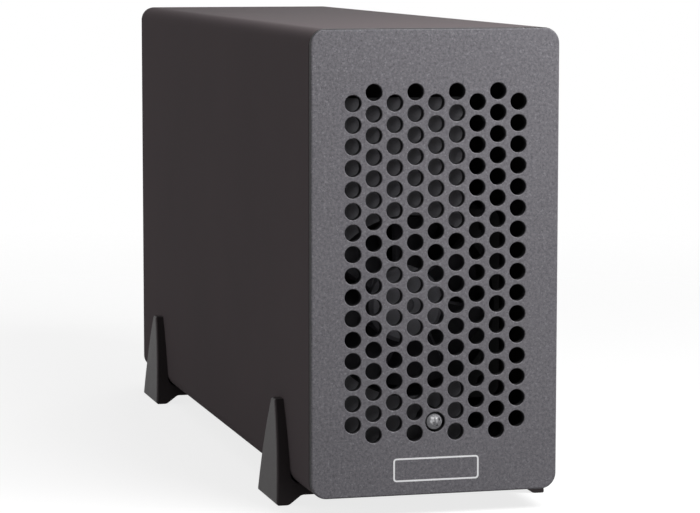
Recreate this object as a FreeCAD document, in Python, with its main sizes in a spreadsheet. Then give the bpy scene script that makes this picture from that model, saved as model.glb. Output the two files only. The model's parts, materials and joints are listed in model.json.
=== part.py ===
"""PCIe expansion chassis: a sleeve on four feet, and a card cage that slides out of its back.

Millimetres. X runs across the front, Y from the front panel to the back, Z up from the surface it stands on.
The origin is under the middle of the whole object.
"""

import FreeCAD, Part
import math
import os
import re
import Sketcher

Vector = FreeCAD.Vector
Rotation = FreeCAD.Rotation
Placement = FreeCAD.Placement
Constraint = Sketcher.Constraint

# Driving dimensions. "across" is measured from the middle of the case, "up" from the sleeve's underside,
# "back" from the front panel's face and "ahead" forwards from the inside of the rear panel.
SIZES = (
    # Sleeve
    ("case_width", 80.0),
    ("case_height", 146.0),
    ("case_depth", 286.0),
    ("corner_radius", 5.0),
    ("sleeve_wall", 1.6),
    ("flange_thick", 1.6),
    ("flange_side_width", 9.0),
    ("flange_end_width", 13.0),
    ("flange_open_radius", 4.0),
    ("rear_gap", 0.2),
    # Front panel and its grille
    ("panel_thick", 3.0),
    ("panel_edge_round", 0.6),
    ("shadow_depth", 0.7),
    ("shadow_width", 0.7),
    ("hole_diameter", 5.3),
    ("hole_bevel", 0.2),
    ("hole_pitch", 6.67),
    ("hole_rows", 16),
    ("hole_main_columns", 5),
    ("led_hole_diameter", 6.4),
    ("stud_diameter", 2.5),
    ("stud_side_inset", 5.0),
    ("stud_end_inset", 7.0),
    ("stud_sink", 1.6),
    ("stud_tail", 1.0),
    ("nut_across_flats", 5.0),
    ("nut_thick", 2.0),
    # Feet
    ("foot_drop", 6.6),
    ("foot_rise", 26.0),
    ("foot_inset", 40.0),
    ("foot_top_thick", 3.0),
    ("foot_sole_thick", 5.0),
    ("foot_top_half", 2.4),
    ("foot_sole_half", 14.0),
    ("foot_side_radius", 100.0),
    ("foot_heel", 1.0),
    ("foot_instep", 3.4),
    ("foot_base_thick", 3.5),
    ("foot_base_reach", 14.0),
    ("foot_bend_round", 2.5),
    ("foot_edge_round", 0.8),
    ("foot_screw_across", 8.6),
    # Screws shared by several pieces
    ("screw_diameter", 3.0),
    ("screw_head_diameter", 5.6),
    ("screw_head_thick", 1.7),
    ("recess_width", 0.9),
    ("recess_span", 3.2),
    ("recess_depth", 0.9),
    ("screw_clearance", 0.2),
    ("thread_clearance", 0.05),
    # Cage tray
    ("tray_gap", 0.4),
    ("tray_thick", 1.2),
    ("tray_flange_up", 10.0),
    ("tray_bend_radius", 3.0),
    ("tray_tab_half", 3.5),
    ("tray_tab_up", 8.0),
    ("tray_tab_left_inset", 5.0),
    ("tray_tab_beside_jack", 9.0),
    ("tray_screw_up", 4.4),
    ("screw_tail", 1.0),
    # Rear panel
    ("rear_thick", 2.0),
    ("rear_edge_round", 0.5),
    ("vent_height", 3.2),
    ("vent_pitch", 6.67),
    ("vent_rows", 13),
    ("vent_side_inset", 5.0),
    ("vent_column_gap", 4.0),
    ("vent_slot_gap", 0.5),
    ("vent_low_up", 36.0),
    # Card slot: a pan set into the rear panel, with a blank cover
    ("card_side_inset", 8.5),
    ("cover_width", 18.4),
    ("cover_beside_card", 4.0),
    ("cover_thick", 0.9),
    ("cover_top_drop", 21.0),
    ("cover_low_up", 5.0),
    ("cover_tail_width", 10.2),
    ("cover_tail_height", 9.0),
    ("cover_shoulder", 2.55),
    ("cover_tab_reach", 11.4),
    ("cover_notch_width", 4.4),
    ("cover_notch_depth", 6.0),
    ("cover_bend_radius", 0.75),
    ("pan_thick", 1.2),
    ("pan_recess", 13.0),
    ("pan_margin", 1.6),
    ("pan_low_up", 15.0),
    ("pan_round", 2.0),
    ("pan_flange_width", 6.0),
    ("pan_window_width", 12.1),
    ("pan_window_low", 4.0),
    ("pan_window_high", 16.1),
    ("rivet_diameter", 2.4),
    ("rivet_head_diameter", 4.6),
    ("rivet_head_thick", 0.8),
    ("rivet_inset", 14.0),
    # Thumbscrews
    ("thumb_side_inset", 14.0),
    ("thumb_drop", 9.0),
    ("thumb_shank_diameter", 3.5),
    ("thumb_shank_reach", 12.0),
    ("thumb_knob_diameter", 11.0),
    ("thumb_knob_length", 8.0),
    ("thumb_collar_length", 1.2),
    ("thumb_collar_inset", 1.0),
    ("thumb_edge_bevel", 0.5),
    ("thumb_groove_depth", 0.5),
    ("thumb_groove_count", 28),
    ("thumb_slot_width", 1.2),
    ("thumb_slot_depth", 1.6),
    ("running_gap", 0.06),
    ("seat_gap", 0.2),
    ("ferrule_diameter", 6.4),
    ("ferrule_flange_diameter", 8.6),
    ("ferrule_flange_thick", 0.8),
    ("block_width", 14.0),
    ("block_length", 11.0),
    ("block_drop", 13.5),
    ("block_round", 1.0),
    # Fan bracket
    ("bracket_back", 8.0),
    ("bracket_thick", 1.2),
    ("bracket_right_across", 12.5),
    ("bracket_top_up", 124.3),
    ("bracket_side_gap", 0.2),
    ("bracket_flange_reach", 14.0),
    ("bracket_corner_round", 3.0),
    ("bracket_screw_spread", 30.0),
    ("bracket_opening_gap", 0.4),
    ("bracket_above_fan", 3.0),
    # Fan
    ("fan_side_gap", 0.2),
    ("fan_above_lamp", 5.8),
    ("fan_size", 60.0),
    ("fan_depth", 25.0),
    ("fan_corner_round", 4.0),
    ("fan_rim", 1.7),
    ("fan_tunnel_wall", 2.0),
    ("fan_flange_thick", 4.0),
    ("fan_hole_inset", 5.0),
    ("fan_hole_diameter", 4.3),
    ("fan_base_diameter", 26.0),
    ("fan_base_thick", 4.0),
    ("fan_strut_width", 3.0),
    ("fan_strut_sink", 0.5),
    ("fan_tube_diameter", 8.4),
    ("fan_tube_gap", 0.1),
    ("fan_end_wall", 1.0),
    ("bearing_diameter", 6.0),
    ("shaft_diameter", 3.0),
    ("shaft_end_gap", 0.3),
    ("stator_diameter", 17.0),
    ("stator_length", 9.0),
    ("stator_poles", 4),
    ("stator_slot_width", 2.4),
    ("stator_slot_depth", 2.6),
    ("hub_diameter", 24.0),
    ("hub_wall", 1.5),
    ("hub_front_gap", 1.4),
    ("hub_back_gap", 1.6),
    ("hub_edge_round", 1.2),
    ("hub_boss_diameter", 7.0),
    ("hub_boss_length", 4.0),
    ("hub_dimple_diameter", 4.8),
    ("hub_dimple_depth", 0.6),
    ("blade_count", 7),
    ("blade_tip_gap", 1.0),
    ("blade_thick", 1.3),
    ("blade_root_chord", 17.0),
    ("blade_tip_chord", 21.0),
    ("blade_root_pitch", 48.0),
    ("blade_tip_pitch", 28.0),
    ("rotor_turn", 24.4),
    ("fan_screw_diameter", 4.0),
    ("fan_screw_length", 11.0),
    ("fan_screw_head_diameter", 7.0),
    ("fan_screw_head_thick", 2.0),
    # Indicator lamp
    ("led_diameter", 5.0),
    ("led_proud", 1.0),
    ("led_length", 8.6),
    ("led_rim_diameter", 5.8),
    ("led_rim_thick", 1.0),
    ("led_holder_diameter", 8.0),
    ("led_holder_ahead", 2.0),
    ("led_holder_stem_diameter", 6.2),
    ("led_holder_stem_length", 3.0),
    ("led_holder_gap", 0.1),
    # Main board
    ("standoff_height", 5.0),
    ("standoff_diameter", 5.6),
    ("standoff_stem_diameter", 4.0),
    ("standoff_board_inset", 5.0),
    ("standoff_beside_card", 15.0),
    ("standoff_rows", 3),
    ("standoff_row_pitch", 80.0),
    ("standoff_ahead", 21.0),
    ("board_thick", 1.6),
    ("board_left_gap", 1.8),
    ("board_right_gap", 0.8),
    ("board_ahead", 2.6),
    ("board_length", 186.0),
    ("board_corner_round", 1.4),
    ("board_notch_gap", 1.2),
    ("slot_width", 7.5),
    ("slot_length", 89.0),
    ("slot_height", 11.2),
    ("slot_ahead", 58.0),
    ("slot_groove_width", 1.8),
    ("slot_groove_depth", 8.0),
    ("slot_end_wall", 2.2),
    ("slot_key_width", 1.9),
    ("slot_key_from_end", 13.9),
    ("slot_corner_round", 0.6),
    ("usb_width", 8.94),
    ("usb_height", 3.26),
    ("usb_length", 8.4),
    ("usb_wall", 0.3),
    ("usb_mouth_back", 0.4),
    ("port_board_inset", 10.0),
    ("port_pitch", 14.0),
    ("usb_tongue_width", 6.7),
    ("usb_tongue_thick", 0.7),
    ("usb_plug_length", 2.6),
    ("usb_tongue_mouth_back", 1.0),
    ("usb_plug_gap", 0.05),
    ("port_clearance", 0.3),
    ("jack_width", 9.0),
    ("jack_length", 14.0),
    ("jack_height", 11.0),
    ("jack_edge_round", 1.0),
    ("jack_nose_diameter", 8.4),
    ("jack_bore_diameter", 6.4),
    ("jack_bore_depth", 11.0),
    ("jack_pin_diameter", 2.0),
    ("jack_pin_mouth_back", 1.6),
    ("chip_size", 14.0),
    ("chip_thick", 1.2),
    ("chip_across", 14.0),
    ("chip_ahead", 48.0),
    ("pad_thick", 0.8),
    ("heatsink_size", 34.0),
    ("heatsink_height", 12.0),
    ("heatsink_base", 3.0),
    ("heatsink_fins", 8),
    ("heatsink_fin_thick", 1.4),
    ("capacitor_diameter", 8.0),
    ("capacitor_height", 11.5),
    ("capacitor_count", 4),
    ("capacitor_pitch", 11.0),
    ("capacitor_across", 10.0),
    ("capacitor_ahead", 118.0),
    ("capacitor_neck_up", 1.6),
    ("capacitor_neck_depth", 0.5),
    ("capacitor_edge_round", 0.6),
    ("inductor_size", 10.0),
    ("inductor_height", 5.0),
    ("inductor_count", 3),
    ("inductor_pitch", 13.0),
    ("inductor_across", 25.0),
    ("inductor_ahead", 118.0),
    ("inductor_corner_round", 1.5),
    ("regulator_length", 6.0),
    ("regulator_width", 5.0),
    ("regulator_thick", 1.0),
    ("regulator_across", 0.5),
    # Leads to the fan and to the lamp
    ("header_width", 9.2),
    ("header_length", 6.0),
    ("header_height", 5.6),
    ("header_wall", 0.7),
    ("header_inset", 8.0),
    ("fan_header_inset", 13.5),
    ("led_header_inset", 27.0),
    ("plug_length", 9.0),
    ("plug_gap", 0.1),
    ("fan_lead_diameter", 3.0),
    ("led_lead_diameter", 2.0),
)
ALIASES = {name for name, value in SIZES}

# Places worked out from the sizes, as formulas on the sheet.
KNOB_REACH = "(ferrule_flange_thick + seat_gap + thumb_collar_length + thumb_knob_length)"
FRONT = f"((led_proud - case_depth - {KNOB_REACH}) / 2)"
PANEL_BACK = f"({FRONT} + panel_thick)"
REAR = f"({FRONT} + case_depth)"
REAR_INSIDE = f"({REAR} - rear_thick)"
SLEEVE_LENGTH = "(case_depth - panel_thick - rear_thick - rear_gap)"
MIDDLE_UP = "(foot_drop + case_height / 2)"
TRAY_UNDER = "(foot_drop + sleeve_wall + tray_gap)"
TRAY_HALF = "(case_width / 2 - sleeve_wall - tray_gap)"
TRAY_INSIDE = f"({TRAY_HALF} - tray_thick)"
TAB_LEFT = f"(tray_tab_left_inset - {TRAY_HALF})"
FLOOR = f"({TRAY_UNDER} + tray_thick)"
BOARD_UNDER = f"({FLOOR} + standoff_height)"
BOARD_TOP = f"({BOARD_UNDER} + board_thick)"
BOARD_REAR = f"({REAR_INSIDE} - board_ahead)"
BOARD_FRONT = f"({BOARD_REAR} - board_length)"
BOARD_LEFT = f"(board_left_gap - {TRAY_INSIDE})"
BOARD_RIGHT = f"({TRAY_INSIDE} - board_right_gap)"
USB_LEFT = f"({BOARD_LEFT} + port_board_inset)"
USB_RIGHT = f"({USB_LEFT} + port_pitch)"
JACK_ACROSS = f"({USB_RIGHT} + port_pitch)"
TAB_RIGHT = f"({JACK_ACROSS} + tray_tab_beside_jack)"
BRACKET_FRONT = f"({FRONT} + bracket_back)"
TRAY_LENGTH = "(case_depth - rear_thick - bracket_back)"
FAN_FRONT = f"({BRACKET_FRONT} + bracket_thick)"
FAN_BACK = f"({FAN_FRONT} + fan_depth)"
LED_UP = f"({MIDDLE_UP} - (hole_rows - 1) / 2 * hole_pitch)"
BRACKET_LEFT = f"(bracket_side_gap - {TRAY_INSIDE})"
FAN_ACROSS = f"({BRACKET_LEFT} + fan_side_gap + fan_size / 2)"
FAN_UP = f"({LED_UP} + fan_above_lamp + fan_size / 2)"
FAN_BORE = "(fan_size - 2 * fan_rim)"
FAN_HOLE_PITCH = "(fan_size - 2 * fan_hole_inset)"
FAN_SCREW_ACROSS = f"({FAN_ACROSS} - {FAN_HOLE_PITCH} / 2)"
SCREW_HOLE = "screw_diameter + 2 * screw_clearance"
FAN_TUBE = "(fan_depth - fan_base_thick - hub_front_gap - hub_wall - hub_boss_length - fan_tube_gap)"
HUB_LENGTH = "(fan_depth - fan_base_thick - hub_front_gap - hub_back_gap)"
THUMB_ACROSS = "(case_width / 2 - thumb_side_inset)"
THUMB_UP = "(foot_drop + case_height - thumb_drop)"
STUD_ACROSS = "case_width / 2 - stud_side_inset"
STUD_UP = "case_height / 2 - stud_end_inset"
CARD_ACROSS = "(case_width / 2 - card_side_inset)"
COVER_RIGHT = f"({CARD_ACROSS} + cover_beside_card)"
COVER_LEFT = f"({COVER_RIGHT} - cover_width)"
COVER_MIDDLE = f"({COVER_RIGHT} - cover_width / 2)"
COVER_LOW = "(foot_drop + cover_low_up)"
COVER_HEIGHT = "(case_height - cover_low_up - cover_top_drop)"
COVER_TOP = f"({COVER_LOW} + {COVER_HEIGHT})"
PAN_FACE = f"({REAR_INSIDE} - pan_recess)"
PAN_LEFT = f"({COVER_LEFT} - pan_margin)"
PAN_RIGHT = f"({COVER_RIGHT} + pan_margin)"
PAN_LOW = "(foot_drop + pan_low_up)"
PAN_TOP = f"({COVER_TOP} - cover_thick)"
VENT_LEFT = "(vent_side_inset - case_width / 2)"
VENT_RIGHT = f"({PAN_LEFT} - pan_flange_width - vent_slot_gap)"
VENT_LENGTH = f"(({VENT_RIGHT} - {VENT_LEFT} - vent_column_gap) / 2)"
PLUG_WIDTH = "(header_width - 2 * header_wall - 2 * plug_gap)"
PLUG_HEIGHT = "(header_height - 2 * header_wall - 2 * plug_gap)"
PLUG_LOW = f"({BOARD_TOP} + header_wall + plug_gap)"
PLUG_FRONT = f"({BOARD_FRONT} + header_inset + header_length - header_wall - plug_gap - plug_length)"

# Share of a lead's shorter run that each of its bends takes up.
BEND_SHARE = 0.45

# How near two places, or the cosines of two directions, count as the same.
SAME_PLACE = 1e-4
SAME_WAY = 1e-6

doc = FreeCAD.newDocument("expansion_chassis")
sheet = doc.addObject("Spreadsheet::Sheet", "sizes")
pieces = []


def fill_sheet():
    """Writes every driving dimension into the sheet, its name beside it."""
    for row, (alias, value) in enumerate(SIZES, start=1):
        sheet.set(f"A{row}", alias)
        sheet.set(f"B{row}", str(value))
        sheet.setAlias(f"B{row}", alias)
    doc.recompute()


def formula(text):
    """Turns a formula on bare size names into one that reads the sheet."""
    def named(match):
        word = match.group(0)
        return f"sizes.{word}" if word in ALIASES else word
    return re.sub(r"[a-z][a-z_0-9]*", named, text)


def number(text):
    """The present value of a formula."""
    return float(sheet.evalExpression(text))


def bind(item, **formulas):
    """Ties properties of an object to the sheet."""
    for name, text in formulas.items():
        item.setExpression(name, formula(text))
    return item


def place(item, x, y, z, turn=None):
    """Ties an object's place to the sheet, with a fixed turn."""
    if turn is not None:
        item.Placement = Placement(Vector(), turn)
    for axis, text in zip("xyz", (x, y, z)):
        item.setExpression(f"Placement.Base.{axis}", formula(text))
    return item


def piece(item, name):
    """Registers a finished sub-part under its own name."""
    item.Label = name
    pieces.append(item)
    return item


ALONG = {
    "x": Rotation(Vector(0, 1, 0), 90),
    "y": Rotation(Vector(1, 0, 0), -90),
    "z": Rotation(),
}


def box(name, x, y, z, width, depth, height):
    """A box from its low left front corner."""
    item = bind(doc.addObject("Part::Box", name), Length=width, Width=depth, Height=height)
    return place(item, x, y, z)


def rod(name, along, x, y, z, diameter, length):
    """A round bar from the middle of its first end."""
    item = bind(doc.addObject("Part::Cylinder", name), Radius=f"({diameter}) / 2", Height=length)
    return place(item, x, y, z, ALONG[along])


def hexagon(name, along, x, y, z, across_flats, length):
    """A six-sided bar from the middle of its first end."""
    item = doc.addObject("Part::Prism", name)
    item.Polygon = 6
    bind(item, Circumradius=f"({across_flats}) / sqrt(3)", Height=length)
    return place(item, x, y, z, ALONG[along])


def join(name, *items):
    """One solid from several that overlap or share a face."""
    item = doc.addObject("Part::MultiFuse", name)
    item.Shapes = list(items)
    return item


def gather(name, items):
    """Separate solids kept in one sub-part."""
    item = doc.addObject("Part::Compound", name)
    item.Links = list(items)
    return item


def cut(name, base, *tools):
    """A solid less one or more others."""
    item = doc.addObject("Part::Cut", name)
    item.Base = base
    item.Tool = tools[0] if len(tools) == 1 else join(f"{name}_tools", *tools)
    return item


def runs_along(edge, axis):
    """Whether an edge is a straight one along an axis."""
    if len(edge.Vertexes) != 2 or not isinstance(edge.Curve, Part.Line):
        return False
    way = edge.Curve.Direction
    return abs(abs(way.dot(axis)) - 1) < SAME_WAY


def soften(name, item, radius, wanted):
    """Rounds the edges of a solid that the wanted test picks."""
    doc.recompute()
    size = number(radius)
    fillet = doc.addObject("Part::Fillet", name)
    fillet.Base = item
    fillet.Edges = [(i, size, size) for i, edge in enumerate(item.Shape.Edges, start=1) if wanted(edge)]
    return fillet


def rounded_box(name, axis, radius, *measures):
    """A box with the four edges along one axis rounded."""
    return soften(name, box(f"{name}_block", *measures), radius, lambda edge: runs_along(edge, axis))


X_WAY = Vector(1, 0, 0)
Y_WAY = Vector(0, 1, 0)
Z_WAY = Vector(0, 0, 1)


def body(name):
    """A body of its own for a piece that is padded, cut and patterned."""
    return doc.addObject("PartDesign::Body", name)


def origin(owner, role):
    """One of a body's own planes or axes."""
    return next(item for item in owner.Origin.OriginFeatures if item.Role == role)


class Outline:
    """A sketch on one of a body's own planes, with every point tied to the sheet."""

    def __init__(self, owner, plane, name, away=None, turn=None):
        self.sketch = owner.newObject("Sketcher::SketchObject", name)
        self.sketch.AttachmentSupport = [(origin(owner, plane), "")]
        self.sketch.MapMode = "FlatFace"
        if turn is not None:
            self.sketch.AttachmentOffset = Placement(Vector(), Rotation(Vector(0, 0, 1), number(turn)))
            self.sketch.setExpression("AttachmentOffset.Rotation.Angle", formula(turn))
        if away is not None:
            self.sketch.setExpression("AttachmentOffset.Base.z", formula(away))

    def fix(self, kind, where, text):
        """A constraint whose value follows a formula."""
        index = self.sketch.addConstraint(Constraint(kind, *where, number(text)))
        self.sketch.renameConstraint(index, f"size_{index}")
        self.sketch.setExpression(f"Constraints.size_{index}", formula(text))

    def pin(self, geometry, end, x, y):
        """Holds a point at its place from the sketch's origin."""
        for kind, text, axis in (("DistanceX", x, -2), ("DistanceY", y, -1)):
            if abs(number(text)) < SAME_PLACE:
                self.sketch.addConstraint(Constraint("PointOnObject", geometry, end, axis))
            else:
                self.fix(kind, (-1, 1, geometry, end), text)

    def polygon(self, points):
        """A closed outline of straight lines."""
        spots = [Vector(number(x), number(y), 0) for x, y in points]
        first = self.sketch.GeometryCount
        count = len(spots)
        lines = [Part.LineSegment(spots[i], spots[(i + 1) % count]) for i in range(count)]
        self.sketch.addGeometry(lines)
        for i in range(count):
            following = first + (i + 1) % count
            self.sketch.addConstraint(Constraint("Coincident", first + i, 2, following, 1))
        for i, (x, y) in enumerate(points):
            self.pin(first + i, 1, x, y)
        return self

    def rectangle(self, left, low, width, height):
        """A rectangle from its low left corner."""
        right = f"({left}) + ({width})"
        high = f"({low}) + ({height})"
        return self.polygon(((left, low), (right, low), (right, high), (left, high)))

    def circle(self, x, y, diameter):
        """A round hole or boss."""
        spot = Vector(number(x), number(y), 0)
        geometry = self.sketch.addGeometry(Part.Circle(spot, Vector(0, 0, 1), number(diameter) / 2))
        self.pin(geometry, 3, x, y)
        self.fix("Diameter", (geometry,), diameter)
        return self

    def rounded_rectangle(self, width, height, radius):
        """A rectangle with rounded corners, centred on the sketch's origin."""
        half_width = number(width) / 2
        half_height = number(height) / 2
        size = number(radius)
        first = self.sketch.GeometryCount
        inner_x = half_width - size
        inner_y = half_height - size
        ends = (
            (Vector(-inner_x, -half_height), Vector(inner_x, -half_height)),
            (Vector(half_width, -inner_y), Vector(half_width, inner_y)),
            (Vector(inner_x, half_height), Vector(-inner_x, half_height)),
            (Vector(-half_width, inner_y), Vector(-half_width, -inner_y)),
        )
        corners = ((inner_x, -inner_y), (inner_x, inner_y), (-inner_x, inner_y), (-inner_x, -inner_y))
        self.sketch.addGeometry([Part.LineSegment(start, end) for start, end in ends])
        for i, (x, y) in enumerate(corners):
            ring = Part.Circle(Vector(x, y, 0), Vector(0, 0, 1), size)
            start = (i - 1) * math.pi / 2
            self.sketch.addGeometry(Part.ArcOfCircle(ring, start, start + math.pi / 2))
        for i in range(4):
            line = first + i
            arc = first + 4 + i
            following = first + (i + 1) % 4
            self.sketch.addConstraint(Constraint("Tangent", line, 2, arc, 1))
            self.sketch.addConstraint(Constraint("Tangent", arc, 2, following, 1))
            self.sketch.addConstraint(Constraint("Horizontal" if i % 2 == 0 else "Vertical", line))
            if i:
                self.sketch.addConstraint(Constraint("Equal", first + 4, arc))
        self.sketch.addConstraint(Constraint("Symmetric", first + 4, 3, first + 6, 3, -1, 1))
        self.fix("DistanceX", (first + 3, 2, first + 1, 2), width)
        self.fix("DistanceY", (first, 1, first + 2, 2), height)
        self.fix("Radius", (first + 4,), radius)
        return self

    def obround(self, x, y, length, height):
        """A level slot with round ends, from its middle."""
        middle = Vector(number(x), number(y), 0)
        radius = number(height) / 2
        reach = number(length) / 2 - radius
        first = self.sketch.GeometryCount
        up = Vector(0, radius, 0)
        side = Vector(reach, 0, 0)
        right = Part.Circle(middle + side, Vector(0, 0, 1), radius)
        left = Part.Circle(middle - side, Vector(0, 0, 1), radius)
        self.sketch.addGeometry([
            Part.LineSegment(middle - side - up, middle + side - up),
            Part.ArcOfCircle(right, -math.pi / 2, math.pi / 2),
            Part.LineSegment(middle + side + up, middle - side + up),
            Part.ArcOfCircle(left, math.pi / 2, 3 * math.pi / 2),
        ])
        for i in range(4):
            following = first + (i + 1) % 4
            self.sketch.addConstraint(Constraint("Tangent", first + i, 2, following, 1))
        self.sketch.addConstraint(Constraint("Horizontal", first))
        self.pin(first + 3, 3, f"({x}) - (({length}) - ({height})) / 2", y)
        self.fix("DistanceX", (first + 3, 3, first + 1, 3), f"({length}) - ({height})")
        self.fix("Diameter", (first + 1,), height)
        return self


def pad(owner, outline, length, back=False, both=False):
    """Raises a sketch; back turns the way round, both spreads it to each side."""
    feature = owner.newObject("PartDesign::Pad", f"{outline.sketch.Name}_pad")
    feature.Profile = outline.sketch
    feature.Reversed = back
    feature.Midplane = both
    return bind(feature, Length=length)


def pocket(owner, outline, depth=None, back=False):
    """Cuts a sketch to a depth, or right through both ways."""
    feature = owner.newObject("PartDesign::Pocket", f"{outline.sketch.Name}_cut")
    feature.Profile = outline.sketch
    if depth is None:
        feature.Type = "ThroughAll"
        feature.Midplane = True
        return feature
    feature.Reversed = back
    return bind(feature, Length=depth)


def revolve(owner, outline, axis, groove=False):
    """Turns a sketch once round one of its own axes."""
    kind = "PartDesign::Groove" if groove else "PartDesign::Revolution"
    feature = owner.newObject(kind, f"{outline.sketch.Name}_turned")
    feature.Profile = outline.sketch
    feature.ReferenceAxis = (outline.sketch, [axis])
    feature.Angle = 360
    return feature


def grid(owner, feature, outline, across, across_count, up, up_count):
    """Repeats a cut along the two directions of its sketch."""
    pattern = owner.newObject("PartDesign::LinearPattern", f"{feature.Name}_grid")
    pattern.Originals = [feature]
    pattern.Direction = (outline.sketch, ["H_Axis"])
    pattern.Direction2 = (outline.sketch, ["V_Axis"])
    bind(pattern, Length=f"({across}) * (({across_count}) - 1)", Occurrences=across_count)
    bind(pattern, Length2=f"({up}) * (({up_count}) - 1)", Occurrences2=up_count)
    owner.Tip = pattern
    return pattern


def ring_of(owner, feature, role, count):
    """Repeats a feature evenly round one of the body's axes."""
    pattern = owner.newObject("PartDesign::PolarPattern", f"{feature.Name}_ring")
    pattern.Originals = [feature]
    pattern.Axis = (origin(owner, role), [""])
    pattern.Angle = 360
    bind(pattern, Occurrences=count)
    owner.Tip = pattern
    return pattern


def pick_edges(feature, wanted):
    """The names of the edges of a body's last feature that the wanted test picks."""
    doc.recompute()
    return [f"Edge{i}" for i, edge in enumerate(feature.Shape.Edges, start=1) if wanted(edge)]


def round_edges(owner, feature, radius, wanted):
    """Rounds the picked edges."""
    names = pick_edges(feature, wanted)
    fillet = owner.newObject("PartDesign::Fillet", f"{feature.Name}_round")
    fillet.Base = (feature, names)
    return bind(fillet, Radius=radius)


def bevel_edges(owner, feature, size, wanted):
    """Bevels the picked edges at half a right angle."""
    names = pick_edges(feature, wanted)
    chamfer = owner.newObject("PartDesign::Chamfer", f"{feature.Name}_bevel")
    chamfer.Base = (feature, names)
    return bind(chamfer, Size=size)


def lies_at(edge, axis, value):
    """Whether an edge lies in a plane across an axis."""
    box_of_edge = edge.BoundBox
    low = getattr(box_of_edge, f"{axis.upper()}Min")
    high = getattr(box_of_edge, f"{axis.upper()}Max")
    return abs(low - value) < SAME_PLACE and abs(high - value) < SAME_PLACE


def pan_screw(name, along, seat, way, length):
    """A cross-recessed pan-head screw; way says if its head points up or down its axis from the seat."""
    axis = "xyz".index(along)
    flat = [i for i in range(3) if i != axis]

    def shifted(text):
        spot = list(seat)
        spot[axis] = f"({seat[axis]}) + ({text})"
        return spot

    up = way > 0
    shank = rod(f"{name}_shank", along, *shifted(f"-({length})" if up else "0"), "screw_diameter", length)
    head = rod(f"{name}_head", along, *shifted("0" if up else "-screw_head_thick"), "screw_head_diameter",
               "screw_head_thick")
    recess = shifted("screw_head_thick - recess_depth" if up else "-screw_head_thick")
    arms = []
    for long_way, short_way in (flat, flat[::-1]):
        span = ["recess_depth"] * 3
        span[long_way] = "recess_span"
        span[short_way] = "recess_width"
        corner = list(recess)
        for i in flat:
            corner[i] = f"({seat[i]}) - {span[i]} / 2"
        arms.append(box(f"{name}_arm_{long_way}", *corner, *span))
    return cut(name, join(f"{name}_blank", shank, head), *arms)


def make_sleeve():
    """The wrapped outer case, with a flange inside its front edge for the panel's studs."""
    owner = body("sleeve_body")
    section = Outline(owner, "XZ_Plane", "sleeve_section")
    section.rounded_rectangle("case_width", "case_height", "corner_radius")
    section.rounded_rectangle("case_width - 2 * sleeve_wall", "case_height - 2 * sleeve_wall",
                              "corner_radius - sleeve_wall")
    pad(owner, section, SLEEVE_LENGTH, back=True)
    flange = Outline(owner, "XZ_Plane", "sleeve_flange")
    flange.rounded_rectangle("case_width - sleeve_wall", "case_height - sleeve_wall",
                             "corner_radius - sleeve_wall / 2")
    flange.rounded_rectangle("case_width - 2 * flange_side_width", "case_height - 2 * flange_end_width",
                             "flange_open_radius")
    pad(owner, flange, "flange_thick", back=True)
    studs = Outline(owner, "XZ_Plane", "sleeve_stud_holes")
    for x, z in four_ways(STUD_ACROSS, STUD_UP):
        studs.circle(x, z, "stud_diameter + 2 * screw_clearance")
    pocket(owner, studs, "flange_thick")
    feet = Outline(owner, "XY_Plane", "sleeve_foot_holes", away="-case_height / 2")
    for side in ("", "-"):
        for row in ("foot_inset - panel_thick", "case_depth - panel_thick - foot_inset"):
            feet.circle(f"{side}(case_width / 2 - foot_screw_across)", row,
                        "screw_diameter + 2 * thread_clearance")
    pocket(owner, feet, "2 * sleeve_wall", back=True)
    return piece(place(owner, "0", PANEL_BACK, MIDDLE_UP), "outer_sleeve")


def four_ways(x, z):
    """A place in each of the four quarters."""
    return [(f"{side}({x})", f"{level}({z})") for side in ("", "-") for level in ("", "-")]


def make_front_panel():
    """The perforated plate: staggered columns of holes, the lowest place of the middle one for the lamp."""
    owner = body("front_panel_body")
    outline = Outline(owner, "XZ_Plane", "panel_outline")
    outline.rounded_rectangle("case_width", "case_height", "corner_radius")
    plate = pad(owner, outline, "panel_thick", back=True)
    round_edges(owner, plate, "panel_edge_round", lambda edge: lies_at(edge, "y", 0))
    rebate = Outline(owner, "XZ_Plane", "panel_shadow_line", away="-panel_thick")
    rebate.rounded_rectangle("case_width + 2 * shadow_depth", "case_height + 2 * shadow_depth",
                             "corner_radius + shadow_depth")
    rebate.rounded_rectangle("case_width - 2 * shadow_depth", "case_height - 2 * shadow_depth",
                             "corner_radius - shadow_depth")
    pocket(owner, rebate, "shadow_width", back=True)
    studs = Outline(owner, "XZ_Plane", "panel_stud_holes", away="-panel_thick")
    for x, z in four_ways(STUD_ACROSS, STUD_UP):
        studs.circle(x, z, "stud_diameter + 2 * thread_clearance")
    pocket(owner, studs, "stud_sink", back=True)
    main = Outline(owner, "XZ_Plane", "main_hole")
    lowest = "-(hole_rows - 1) / 2 * hole_pitch"
    main.circle("-(hole_main_columns - 1) * hole_pitch", lowest, "hole_diameter")
    punched = pocket(owner, main)
    grid(owner, punched, main, "2 * hole_pitch", "hole_main_columns", "hole_pitch", "hole_rows")
    between = Outline(owner, "XZ_Plane", "between_hole")
    between.circle("-(hole_main_columns - 2) * hole_pitch", "-hole_rows / 2 * hole_pitch", "hole_diameter")
    punched = pocket(owner, between)
    grid(owner, punched, between, "2 * hole_pitch", "hole_main_columns - 1", "hole_pitch", "hole_rows + 1")
    lamp = Outline(owner, "XZ_Plane", "lamp_hole")
    lamp.circle("0", lowest, "led_hole_diameter")
    holes = pocket(owner, lamp)
    owner.Tip = bevel_edges(owner, holes, "hole_bevel",
                            lambda edge: lies_at(edge, "y", 0) and edge.isClosed())
    return piece(place(owner, "0", FRONT, MIDDLE_UP), "front_panel")


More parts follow.
